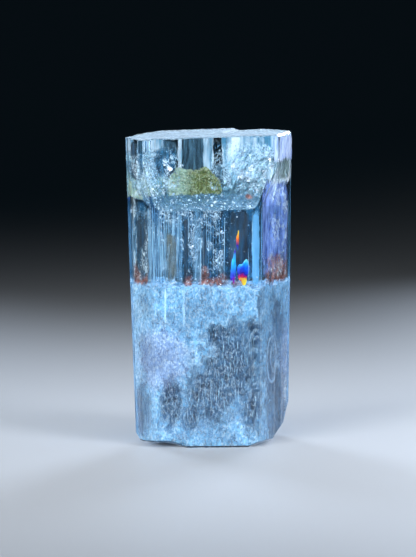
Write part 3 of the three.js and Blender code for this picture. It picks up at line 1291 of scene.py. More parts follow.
@dataclass(frozen=True)
class Pattern:
    """Where a material's patterns come from: Object coordinates in millimetres."""

    tree: bpy.types.NodeTree

    def point(self, scale: Triple = (1, 1, 1)) -> Socket:
        """Return the surface point in millimetres.

        Args:
            scale: what each axis is multiplied by.

        Returns:
            The point's socket.
        """
        size = tuple(part / MM for part in scale)
        coordinates = add_node(self.tree, "TexCoord", output="Object")
        return add_node(self.tree, "Mapping", {"Vector": coordinates, "Scale": size})

    def noise(self, grain: float, upright: float = 1.0, detail: float = 3.0,
              seed: float = 0.0, roughness: float = 0.55) -> Socket:
        """Return noise from 0 to 1 with grains of a real size.

        Args:
            grain: grain width in millimetres.
            upright: how many times taller than wide the grains are.
            detail: octaves of finer grain.
            seed: shifts the pattern.
            roughness: weight of the finer octaves.

        Returns:
            The noise value socket.
        """
        moved = add_node(self.tree, "VectorMath", {
            0: self.point((1, 1, 1 / upright)), 1: (seed, seed * 1.7, seed * 0.6)},
            operation="ADD")
        return add_node(self.tree, "TexNoise", {
            "Vector": moved, "Scale": 1 / grain, "Detail": detail, "Roughness": roughness})

    def veins(self, grain: float, upright: float, width: float, seed: float) -> Socket:
        """Return 1 along winding lines, where a noise crosses its middle, and 0 between them.

        Args:
            grain: grain width in millimetres.
            upright: how many times taller than wide the grains are.
            width: how far from its middle the noise still counts as the line.
            seed: shifts the pattern.

        Returns:
            The value socket.
        """
        off = add_node(self.tree, "Math", {0: self.noise(grain, upright, 2, seed), 1: 0.5},
                       operation="SUBTRACT")
        return self.level(add_node(self.tree, "Math", {0: off}, operation="ABSOLUTE"), width, 0.0)

    def level(self, value: Socket, low: float, high: float, to: Pair = (0, 1)) -> Socket:
        """Return the value smoothly mapped from low and high to the two ends given."""
        return add_node(self.tree, "MapRange", {
            "Value": value, "From Min": low, "From Max": high, "To Min": to[0], "To Max": to[1]},
            interpolation_type="SMOOTHSTEP")

    def tones(self, value: Socket, stops: tuple[tuple[float, str], ...]) -> Socket:
        """Pick a colour by the value.

        Args:
            value: from 0 to 1.
            stops: positions with their sRGB hex colours.

        Returns:
            The colour socket.
        """
        colour = add_node(self.tree, "ValToRGB", {"Fac": value})
        ramp = colour.node.color_ramp
        for _ in stops[2:]:
            ramp.elements.new(0.5)
        for element, (position, tone) in zip(ramp.elements, stops):
            element.position = position
            element.color = to_linear(tone)
        return colour

    def both(self, a: Socket, b: Socket | float) -> Socket:
        """Return the product of two masks, which is 1 only where both are."""
        return add_node(self.tree, "Math", {0: a, 1: b}, operation="MULTIPLY")

    def either(self, a: Socket, b: Socket | float) -> Socket:
        """Return the larger of two masks."""
        return add_node(self.tree, "Math", {0: a, 1: b}, operation="MAXIMUM")

    def stained(self, base: Socket, share: Socket, colour: Socket | str,
                most: float = 1.0) -> Socket:
        """Lay a second colour over a first one.

        Args:
            base: the first colour.
            share: mask of the second colour.
            colour: the second colour, a socket or sRGB hex.
            most: how much of it shows where the mask is 1.

        Returns:
            The colour socket.
        """
        share = share if most == 1.0 else self.both(share, most)
        over = to_linear(colour) if isinstance(colour, str) else colour
        return add_node(self.tree, "Mix", {0: share, 6: base, 7: over}, 2, data_type="RGBA")

    def raised(self, height: Socket, depth: float) -> Socket:
        """Return the normal of a surface raised by the height socket, to a depth in mm."""
        return add_node(self.tree, "Bump", {"Height": height, "Strength": 1.0,
                                            "Distance": depth * MM})

    def distance(self, centre: Triple, radii: Triple) -> Socket:
        """Measure how far the surface point is from a centre.

        Args:
            centre: the place in the prism's millimetres.
            radii: the length that counts as 1 along each axis.

        Returns:
            The distance's socket, in radii.
        """
        offset = add_node(self.tree, "VectorMath", {0: self.point(), 1: centre},
                          operation="SUBTRACT")
        scaled = add_node(self.tree, "VectorMath", {0: offset, 1: radii}, operation="DIVIDE")
        return add_node(self.tree, "VectorMath", {0: scaled}, "Value", operation="LENGTH")

    def ring(self, centre: Triple, radii: Triple, width: float = 0.16) -> Socket:
        """Return 1 along the surface of an ellipsoid, fading over the width, in radii."""
        off = add_node(self.tree, "Math", {0: self.distance(centre, radii), 1: 1.0},
                       operation="SUBTRACT")
        return self.level(add_node(self.tree, "Math", {0: off}, operation="ABSOLUTE"), width, 0.0)

    def clouds(self, places: Clouds, ragged: Socket, edge: float = 0.25) -> Socket:
        """Return 1 inside any of the ragged ellipsoids and 0 outside them.

        The distance from a centre in radii, plus the ragged noise, falls through the edge.

        Args:
            places: middles and half sizes in the prism's millimetres.
            ragged: noise from 0 to 1 that frays their outlines.
            edge: half the width of the fading edge, in radii.

        Returns:
            The mask's socket.
        """
        total = None
        for centre, radii in places:
            rough = add_node(self.tree, "Math", {0: ragged, 1: 1.3, 2: -0.65},
                             operation="MULTIPLY_ADD")
            away = add_node(self.tree, "Math", {0: self.distance(centre, radii), 1: rough},
                            operation="ADD")
            cloud = self.level(away, 1 + edge, 1 - 1.6 * edge)
            total = cloud if total is None else self.either(total, cloud)
        return total

    def worn(self, alpha: Socket) -> Socket:
        """Thin a film out raggedly towards its edges.

        Args:
            alpha: the film's alpha, which falls to 0 where the attribute "border" falls.

        Returns:
            The thinned alpha's socket.
        """
        border = add_node(self.tree, "Attribute", output="Fac", attribute_name="border")
        ragged = self.both(self.noise(0.7, 2.5, 3, seed=91), 0.9)
        sum_of_both = add_node(self.tree, "Math", {0: border, 1: ragged}, operation="ADD")
        return self.both(alpha, self.level(sum_of_both, 0.5, 1.1))


@dataclass(frozen=True)
class Finish:
    """A material of its own name; each kind of finish adds what it looks like."""

    name: str

    def build(self) -> bpy.types.Material:
        """Make the material: an empty node tree, the finish's own surface, and the output.

        Returns:
            The material.
        """
        material = bpy.data.materials.new(self.name)
        material.use_nodes = True
        material.node_tree.nodes.clear()
        pattern = Pattern(material.node_tree)
        inputs = {"Surface": add_node(pattern.tree, "BsdfPrincipled", self.surface(pattern))}
        add_node(pattern.tree, "OutputMaterial", inputs | self.inside(pattern.tree), None)
        return material

    def surface(self, pattern: Pattern) -> dict:
        """Return the surface shader's inputs."""
        raise NotImplementedError

    def inside(self, tree: bpy.types.NodeTree) -> dict:
        """Return the output's input for what fills the body: nothing, for an opaque one."""
        return {}


# The pale loop on the right face: its middle and half sizes in the prism's millimetres
PALE_ARC = ((9.6, -3.6, 12.9), (0.9, 3.4, 3.7))

# Clearer, darker windows in the milky zone
CLEARER_WINDOWS: Clouds = (
    ((-10.4, -5.0, 5.0), (1.9, 4.0, 4.2)),
    ((-5.6, -8.0, 6.8), (1.8, 5.0, 4.1)),
    ((3.4, -8.0, 12.4), (4.8, 6.0, 7.6)),
    ((0.4, -8.0, 8.0), (4.2, 5.0, 5.4)),
    ((6.3, -8.0, 6.6), (2.2, 4.0, 4.4)),
    ((-2.6, -8.0, 4.6), (1.9, 5.0, 2.2)),
    ((7.75, -6.95, 12.0), (0.5, 0.7, 16.0)),
    ((6.4, -8.0, 17.0), (1.7, 4.0, 3.2)),
    ((1.6, -8.0, 16.6), (2.4, 5.0, 2.6)),
    ((10.8, -2.0, 18.5), (1.5, 3.0, 4.6)),
    ((9.4, -4.2, 12.0), (0.8, 2.2, 5.0)),
    ((10.8, -1.0, 5.4), (2.6, 4.6, 6.0)),
    ((-3.0, 8.0, 12.0), (4.0, 5.0, 6.5)),
    ((-10.0, 3.0, 14.0), (2.5, 4.0, 5.0)),
)

# Places where the milky zone is tinted lavender
LAVENDER_TINTS: Clouds = (
    ((-7.5, -8.0, 13.5), (4.6, 6.0, 5.0)),
    ((12.0, 1.0, 12.5), (1.4, 3.0, 6.5)),
)

# The side where upright growth streaks darken the milky zone
STREAKED_SIDE: Clouds = (((11.0, -1.5, 7.0), (3.2, 7.0, 12.5)),)

# Small denser clouds; the large one low on the left face is painted light, which makes that side
# paler as if more light fell on it
PALE_SPOTS_AND_LIT_SIDE: Clouds = (
    ((0.5, -8.0, 14.6), (1.0, 3.0, 1.6)),
    ((-2.4, -8.0, 13.4), (0.9, 3.0, 2.6)),
    ((-11.0, -5.0, 17.0), (2.2, 5.0, 9.0)),
)

# Mounds of iron stain on the parting
STAIN_MOUNDS: Clouds = (
    ((-11.2, -4.2, 24.6), (1.4, 3.0, 2.8)),
    ((-9.4, -6.0, 24.2), (1.4, 2.0, 1.9)),
    ((-3.1, -5.0, 24.2), (0.8, 3.0, 1.7)),
    ((-0.6, -5.0, 24.3), (0.9, 3.0, 2.7)),
    ((1.4, -5.0, 24.0), (1.6, 3.0, 2.0)),
    ((4.2, -5.0, 23.9), (0.9, 3.0, 1.3)),
    ((10.3, -2.0, 24.6), (2.6, 4.6, 5.0)),
    ((6.0, -6.8, 38.0), (0.5, 1.5, 0.42)),
)


@dataclass(frozen=True)
class MilkyVeil(Finish):
    """A veil of countless fluid pockets in beryl: pale sky blue, cloudy, with fine upright
    flecks, and thin over the clearer windows."""

    pale: str = "#84C4EC"
    deep: str = "#4280AE"
    most: float = 0.86
    lines: float = 0.42
    seed: float = 0.0
    grain: float = 0.3

    def surface(self, pattern: Pattern) -> dict:
        """Cloud the veil, open its windows, and draw pale and dark lines, spots, a painted lighter
        left side and the loop.

        Args:
            pattern: the material's patterns.

        Returns:
            The surface shader's inputs.
        """
        clouds = pattern.noise(self.grain * 9, 1.2, 3, 4 + self.seed)
        mottle = pattern.noise(self.grain * 1.6, 1.3, 4, 9 + self.seed, 0.75)
        fine = pattern.noise(self.grain, 1.6, 3, 2 + self.seed, 0.7)
        ragged = pattern.noise(1.3, 1.2, 5, 13, 0.65)
        veiled = pattern.level(clouds, 0.36, 0.62, (0.55, 1.0))
        clear = add_node(pattern.tree, "Math", {0: 1.0, 1: pattern.clouds(CLEARER_WINDOWS, ragged)},
                         operation="SUBTRACT")
        alpha = pattern.both(veiled, pattern.both(clear, self.most))
        bright = pattern.either(pattern.veins(self.grain * 2.6, 1.3, 0.06, 5 + self.seed),
                                pattern.veins(self.grain * 1.8, 2.6, 0.07, 6 + self.seed))
        bright = pattern.both(bright, pattern.level(fine, 0.42, 0.6))
        dark = pattern.both(pattern.veins(self.grain * 2.2, 1.4, 0.07, 7 + self.seed),
                            pattern.level(mottle, 0.6, 0.42))
        alpha = pattern.either(alpha, pattern.both(bright, self.lines))
        alpha = add_node(pattern.tree, "Math", {0: alpha, 1: pattern.both(dark, 0.22)},
                         operation="SUBTRACT")
        # Pale denser spots, and painted light: a paler, thicker veil low on the left face
        spots_and_lit_side = pattern.both(pattern.clouds(PALE_SPOTS_AND_LIT_SIDE, ragged),
                             pattern.level(mottle, 0.40, 0.62, (0.05, 0.6)))
        alpha = pattern.either(pattern.either(alpha, 0.0), pattern.both(spots_and_lit_side, veiled))
        arc = pattern.both(pattern.ring(*PALE_ARC), pattern.level(ragged, 0.30, 0.46))
        alpha = pattern.either(alpha, pattern.both(arc, 0.7))
        streaks = pattern.level(pattern.noise(0.45, 9, 3, 16, 0.6), 0.4, 0.6)
        side = pattern.both(streaks, pattern.clouds(STREAKED_SIDE, ragged))
        body = pattern.tones(mottle, ((0.26, self.deep), (0.66, self.pale)))
        for share, colour, most in (
            # The pale spots' colour also paints light onto the lower left face
            (spots_and_lit_side, "#B4DCF6", 1.0), (side, "#465F88", 0.85),
            (pattern.clouds(LAVENDER_TINTS, ragged), "#8496C4", 0.6), (arc, "#A9CDEC", 0.7),
            (dark, "#3A678C", 0.42), (bright, "#DDF3FF", 0.7),
        ):
            body = pattern.stained(body, share, colour, most)
        return {"Base Color": body, "Roughness": 0.42, "Normal": pattern.raised(fine, 0.08),
                "Alpha": alpha}


@dataclass(frozen=True)
class MilkyCore(Finish):
    """The denser inside of the milky zone: deep teal where it is clearer, sky blue and lavender
    where it is cloudy."""

    def surface(self, pattern: Pattern) -> dict:
        """Mottle the core in sky blue, and deepen it in broad shades and in the windows.

        Args:
            pattern: the material's patterns.

        Returns:
            The surface shader's inputs.
        """
        broad = pattern.noise(2.6, 1.2, 3, 44)
        mottle = pattern.noise(0.8, 1.5, 4, 49, 0.7)
        ragged = pattern.noise(1.5, 1.2, 4, 13, 0.6)
        sky = pattern.tones(mottle, ((0.3, "#2F5D82"), (0.5, "#4D80A8"), (0.7, "#74A8CE")))
        deep = pattern.tones(mottle, ((0.3, "#08182A"), (0.48, "#10304E"), (0.7, "#22527A")))
        deep = pattern.stained(deep, pattern.veins(0.7, 2.5, 0.04, 15), "#5F9CC8", 0.35)
        body = pattern.stained(sky, pattern.level(broad, 0.42, 0.58, (0.0, 0.5)), deep)
        body = pattern.stained(body, pattern.clouds(CLEARER_WINDOWS, ragged), deep, 0.85)
        body = pattern.stained(body, pattern.clouds(LAVENDER_TINTS, ragged), "#6F7CB8", 0.5)
        return {"Base Color": body, "Roughness": 0.45, "Normal": pattern.raised(mottle, 0.25)}


@dataclass(frozen=True)
class HealedCrack(Finish):
    """A healed crack in beryl: a sheet of tiny fluid pockets that scatter white and pale blue,
    with clear gaps between them. In near-black tones it is a dark sheet of painted shade instead."""

    pale: str
    deep: str
    # The share of the sheet that the pockets cover, and their grain in millimetres
    cover: float
    grain: float
    upright: float = 1.0
    # The film's alpha on the pockets, between them, and how softly it passes from one to other
    most: float = 0.9
    haze: float = 0.0
    softness: float = 0.07
    patches: Clouds = ()
    worn: bool = True
    metallic: float = 0.0
    roughness: float = 0.4
    frosted_below: float | None = None

    def surface(self, pattern: Pattern) -> dict:
        """Crowd the pockets by two noises, and thin the film out where it is worn.

        Args:
            pattern: the material's patterns.

        Returns:
            The surface shader's inputs.
        """
        grains = pattern.noise(self.grain, self.upright, 3, 17, 0.7)
        crowds = pattern.noise(self.grain * 5, self.upright, 2, 23)
        blend = add_node(pattern.tree, "Math", {
            0: pattern.both(grains, 0.65), 1: pattern.both(crowds, 0.35)}, operation="ADD")
        edge = 0.5 + (0.5 - self.cover) * 0.5
        alpha = pattern.level(blend, edge - self.softness, edge + self.softness,
                              (self.haze, self.most))
        if self.patches:
            ragged = pattern.noise(1.4, 1.3, 4, 37, 0.65)
            alpha = pattern.both(alpha, pattern.clouds(self.patches, ragged))
        if self.worn:
            alpha = pattern.worn(alpha)
        tone = pattern.noise(self.grain * 1.4, self.upright, 2, 31)
        colour = pattern.tones(tone, ((0.35, self.deep), (0.62, self.pale)))
        if self.frosted_below is not None:
            height = add_node(pattern.tree, "SeparateXYZ", {"Vector": pattern.point()}, "Z")
            frost = pattern.level(height, self.frosted_below + 0.6, self.frosted_below - 0.6)
            alpha = pattern.either(alpha, pattern.both(frost, 0.6))
            colour = pattern.stained(colour, frost, "#527E9C", 0.7)
        return {"Base Color": colour, "Roughness": self.roughness, "Metallic": self.metallic,
                "Normal": pattern.raised(grains, 0.15), "Alpha": alpha}


@dataclass(frozen=True)
class Crackle(Finish):
    """A film of fine winding cracks in clear beryl: thin white lines, crowded in patches."""

    grain: float = 0.7
    upright: float = 1.3
    most: float = 0.55

    def surface(self, pattern: Pattern) -> dict:
        """Draw wide and fine lines in patches, with small specks between them.

        Args:
            pattern: the material's patterns.

        Returns:
            The surface shader's inputs.
        """
        wide = pattern.veins(self.grain * 1.4, self.upright, 0.03, 81)
        fine = pattern.veins(self.grain * 0.7, self.upright, 0.045, 83)
        patches = pattern.level(pattern.noise(self.grain * 2.6, 1.2, 3, 85), 0.43, 0.60)
        lines = pattern.either(wide, pattern.both(fine, 0.8))
        alpha = pattern.both(lines, pattern.both(patches, self.most))
        specks = pattern.level(pattern.noise(self.grain * 0.3, 1.8, 2, 87), 0.62, 0.68)
        alpha = pattern.worn(pattern.either(alpha, pattern.both(specks, 0.9)))
        colour = pattern.tones(patches, ((0.0, "#5F94B4"), (0.9, "#D2EAF6")))
        return {"Base Color": colour, "Roughness": 0.3, "Alpha": alpha}


@dataclass(frozen=True)
class BrightFlake(Finish):
    """An open cleavage film in beryl: it mirrors its surroundings, white to pale cyan."""

    colour: str = "#E6F5FC"
    metallic: float = 0.35
    roughness: float = 0.2

    def surface(self, pattern: Pattern) -> dict:
        """Return the surface shader's inputs: a tone that varies from flake to flake."""
        tone = pattern.noise(0.9, 1.0, 2, 77)
        return {"Base Color": pattern.tones(tone, ((0.3, "#7FAFC8"), (0.55, self.colour))),
                "Roughness": self.roughness, "Metallic": self.metallic}


@dataclass(frozen=True)
class InterferenceFilm(Finish):
    """A film of air in a crack, thin enough to split light: bands of blue, violet, magenta and
    yellow from top to bottom."""

    levels: Pair
    stops: tuple[tuple[float, str], ...]

    def surface(self, pattern: Pattern) -> dict:
        """Band the film by height, wavering by a millimetre or so.

        Args:
            pattern: the material's patterns.

        Returns:
            The surface shader's inputs.
        """
        height = add_node(pattern.tree, "SeparateXYZ", {"Vector": pattern.point()}, "Z")
        shift = add_node(pattern.tree, "Math", {0: pattern.noise(1.1, 1.0, 2, 3), 1: 2.2, 2: -1.1},
                         operation="MULTIPLY_ADD")
        level = add_node(pattern.tree, "Math", {0: height, 1: shift}, operation="ADD")
        share = add_node(pattern.tree, "MapRange", {
            "Value": level, "From Min": self.levels[0], "From Max": self.levels[1]})
        return {"Base Color": pattern.tones(share, self.stops), "Roughness": 0.22,
                "Metallic": 0.35}


@dataclass(frozen=True)
class IronStain(Finish):
    """Iron oxide film left on a parting: rusty brown mounds, thin, patchy and frayed."""

    def surface(self, pattern: Pattern) -> dict:
        """Break the mounds up into grains and colour them in three browns.

        Args:
            pattern: the material's patterns.

        Returns:
            The surface shader's inputs.
        """
        grains = pattern.noise(0.4, 1.5, 4, 41, 0.7)
        tone = pattern.noise(0.7, 2.0, 3, 43)
        mounds = pattern.clouds(STAIN_MOUNDS, pattern.noise(1.6, 0.9, 3, 45))
        alpha = pattern.worn(pattern.both(pattern.level(grains, 0.32, 0.58, (0.2, 0.85)), mounds))
        colour = pattern.tones(tone, ((0.3, "#3A1F1E"), (0.5, "#74453E"), (0.7, "#A98A88")))
        return {"Base Color": colour, "Roughness": 0.6, "Normal": pattern.raised(grains, 0.1),
                "Alpha": alpha}


@dataclass(frozen=True)
class YellowMineral(Finish):
    """Granular yellow mineral, probably a phosphate: waxy olive on the right, pale cream-green
    on the left, with lighter joints between grains."""

    # The plan x between which the pale side passes into the olive one
    change: Pair = (-4.6, -2.2)

    def surface(self, pattern: Pattern) -> dict:
        """Blend the two sides raggedly across the cluster and draw the joints.

        Args:
            pattern: the material's patterns.

        Returns:
            The surface shader's inputs.
        """
        across = add_node(pattern.tree, "SeparateXYZ", {"Vector": pattern.point()}, "X")
        ragged = add_node(pattern.tree, "Math", {
            0: pattern.noise(0.9, 1.0, 3, 61), 1: 3.0, 2: -1.5}, operation="MULTIPLY_ADD")
        side = add_node(pattern.tree, "Math", {0: across, 1: ragged}, operation="ADD")
        grain = pattern.noise(0.35, 1.0, 3, 67, 0.65)
        pale = pattern.tones(grain, ((0.3, "#8A9C82"), (0.52, "#A8B69C"), (0.72, "#C8D2BC")))
        olive = pattern.tones(grain, ((0.3, "#505628"), (0.5, "#747840"), (0.7, "#A0A06A")))
        colour = pattern.stained(pale, pattern.level(side, *self.change), olive)
        colour = pattern.stained(colour, pattern.veins(0.9, 1.6, 0.05, 63), "#D6D8B4", 0.4)
        return {"Base Color": colour, "Roughness": 0.42, "Subsurface Weight": 0.15,
                "Subsurface Scale": 0.6 * MM}


@dataclass(frozen=True)
class ClearBeryl(Finish):
    """Clear beryl, a natural glassy mineral: pale blue by absorption, glossy on its growth
    faces, dull where it is etched on top or broken below."""

    ior: float = 1.577
    absorption: float = 48.0
    # Roughness of the growth faces and of the two ends, told apart by how level a face is
    roughness: Pair = (0.012, 0.6)
    level_share: Pair = (0.45, 0.8)

    def surface(self, pattern: Pattern) -> dict:
        """Roughen the faces that look up or down.

        Args:
            pattern: the material's patterns.

        Returns:
            The surface shader's inputs.
        """
        normal = add_node(pattern.tree, "NewGeometry", output="Normal")
        facing = add_node(pattern.tree, "SeparateXYZ", {"Vector": normal}, "Z")
        upright = add_node(pattern.tree, "Math", {0: facing}, operation="ABSOLUTE")
        ends = add_node(pattern.tree, "MapRange", {
            "Value": upright, "From Min": self.level_share[0], "From Max": self.level_share[1],
            "To Min": self.roughness[0], "To Max": self.roughness[1]})
        return {"Base Color": (1, 1, 1, 1), "Transmission Weight": 1.0, "IOR": self.ior,
                "Roughness": ends}

    def inside(self, tree: bpy.types.NodeTree) -> dict:
        """Return the output's input for the pale blue absorption in the body."""
        return {"Volume": add_node(tree, "VolumeAbsorption", {
            "Color": to_linear("#94D2EC"), "Density": self.absorption})}


@dataclass(frozen=True)
class PaleFloor:
    """Pale matt studio floor: painted board."""

    reach: float = 9.0
    colour: str = "#B8BCC0"
    roughness: float = 0.55

    def build(self) -> bpy.types.Object:
        """Returns:
            The floor.
        """
        material = bpy.data.materials.new("pale_painted_board")
        material.use_nodes = True
        shader = material.node_tree.nodes["Principled BSDF"]
        shader.inputs["Base Color"].default_value = to_linear(self.colour)
        shader.inputs["Roughness"].default_value = self.roughness
        mesh = bpy.data.meshes.new("floor")
        r = self.reach
        mesh.from_pydata([(-r, -r, 0), (r, -r, 0), (r, r, 0), (-r, r, 0)], [], [(0, 1, 2, 3)])
        mesh.materials.append(material)
        floor = bpy.data.objects.new("floor", mesh)
        bpy.context.scene.collection.objects.link(floor)
        return floor


@dataclass(frozen=True)
class SoftBox:
    """One soft studio light: a rectangle aimed at a point, in metres and watts."""

    name: str
    place: Triple
    size: Pair
    power: float
    colour: str = "#FFFFFF"
    spread: float = math.radians(50)
    aim: Triple = (0.0, 0.0, 0.024)

    def build(self) -> bpy.types.Object:
        """Make the light, turned to its aim and not seen by the camera itself.

        Returns:
            The light.
        """
        data = bpy.data.lights.new(self.name, "AREA")
        data.shape = "RECTANGLE"
        data.size, data.size_y = self.size
        data.energy = self.power
        data.spread = self.spread
        data.color = to_linear(self.colour)[:3]
        lamp = bpy.data.objects.new(self.name, data)
        lamp.location = self.place
        ray = Vector(self.aim) - Vector(self.place)
        lamp.rotation_euler = ray.to_track_quat("-Z", "Y").to_euler()
        lamp.visible_camera = False
        bpy.context.scene.collection.objects.link(lamp)
        return lamp


@dataclass(frozen=True)
class Studio:
    """Camera, room light and soft boxes."""

    lens: float = 200.0
    distance: float = 0.472
    elevation: float = math.radians(6.1)
    azimuth: float = math.radians(0.73)
    aim: Triple = (-0.162, 0.09, 24.9)
    clip: Pair = (0.01, 30.0)
    room: str = "#141F26"
    room_strength: float = 0.5
    boxes: tuple[SoftBox, ...] = (
        SoftBox("key_left", (-0.19, -0.23, 0.145), (0.16, 0.18), 0.105),
        SoftBox("fill_right", (0.22, -0.18, 0.20), (0.12, 0.16), 0.08, "#F2F6FF"),
        SoftBox("overhead", (0.02, -0.08, 0.28), (0.16, 0.16), 0.025),
        SoftBox("back_left", (-0.14, 0.22, 0.12), (0.08, 0.18), 0.065, "#DDEBFF"),
        SoftBox("back_right", (0.10, 0.24, 0.12), (0.08, 0.18), 0.065, "#DDEBFF"),
    )

    def build(self) -> None:
        """Add the camera, the world and the lights to the scene."""
        scene = bpy.context.scene
        data = bpy.data.cameras.new("camera")
        data.lens = self.lens
        data.clip_start, data.clip_end = self.clip
        camera = bpy.data.objects.new("camera", data)
        e, a = self.elevation, self.azimuth
        back = Vector((math.sin(a) * math.cos(e), -math.cos(a) * math.cos(e), math.sin(e)))
        camera.location = Vector(self.aim) * MM + back * self.distance
        camera.rotation_euler = (-back).to_track_quat("-Z", "Y").to_euler()
        scene.collection.objects.link(camera)
        scene.camera = camera
        world = bpy.data.worlds.new("dim_room")
        world.use_nodes = True
        background = world.node_tree.nodes["Background"]
        background.inputs["Color"].default_value = to_linear(self.room)
        background.inputs["Strength"].default_value = self.room_strength
        scene.world = world
        scene.view_settings.view_transform = "Standard"
        for box in self.boxes:
            box.build()


class Film(Enum):
    """The films that the curtains may have: name, pale, deep, cover, grain, upright, most,
    haze and softness."""

    DENSE = HealedCrack("streaked_crack", "#94C6E0", "#2A5E84", -0.08, 0.10, 26, 0.9, 0.0, 0.05)
    SPARSE = HealedCrack("sparse_streaks", "#86B8D2", "#2F5F80", -0.1, 0.10, 28, 0.8)
    CRACKLE = Crackle("fine_crackle")
    BAND = HealedCrack("frosted_band", "#6FA2C2", "#33627F", 0.4, 0.25, 8, 0.7, 0.3)
    STRIP = HealedCrack("smooth_frosted_band", "#64A6D0", "#4A8BB6", 0.95, 0.8, 8, 0.85, 0.7)
    BROWN = HealedCrack("stained_band", "#5A6258", "#24363A", 0.5, 0.16, 14, 0.7, 0.25)
    # Partly painted light: a real film of pockets on the back wall, whose white stands in for the
    # glow of light shining through from behind
    WHITE = HealedCrack("white_back_wall_painted_glow", "#FFFFFF", "#5C93AA", 0.55, 0.8, 7, 0.95, 0.4)
    GREY = HealedCrack("dim_back_wall", "#537686", "#1E3A48", 0.5, 0.25, 12, 0.8, 0.45)
    LILAC = HealedCrack("lilac_haze", "#7FA0DC", "#2A4F9C", 0.5, 0.55, 3, 0.85, 0.45, 0.14,
                        (((10.0, -3.0, 33.2), (4.2, 7.0, 8.6)),))
    PALE = HealedCrack("pale_lilac_haze", "#D2E2F8", "#8FA8DC", 0.6, 0.55, 3, 0.9, 0.5, 0.14)
    GREEN = HealedCrack("grey_green_haze", "#647F7C", "#2E4A4C", 0.5, 0.5, 2, 0.8, 0.45, 0.12,
                        (((11.4, -0.5, 41.4), (2.6, 5.0, 3.2)),))
    # Painted shade: near-black sheets that darken the clear half as dark surroundings seen through
    # it would; they are no part of the crystal
    DARK = HealedCrack("painted_shade_back_wall", "#2A6A8A", "#082A40", 0.5, 0.3, 4, 0.85, 0.4, 0.12)
    # Painted shade as well: narrower near-black sheets, not cracks
    SLOT = HealedCrack("painted_shade_sheet", "#0E405C", "#021A2A", 0.7, 0.3, 9, 1.0, 0.75, 0.12)
    LINE = HealedCrack("growth_line", "#BFE2F6", "#9CCBEA", 0.5, 0.3, 10, 0.65, 0.2)
    SPECKLED = HealedCrack("speckled_crack", "#C4E8F8", "#4E8CB0", 0.22, 0.2, 1.8, 0.9, 0.0, 0.05)
    RUST = IronStain("iron_oxide_stain")


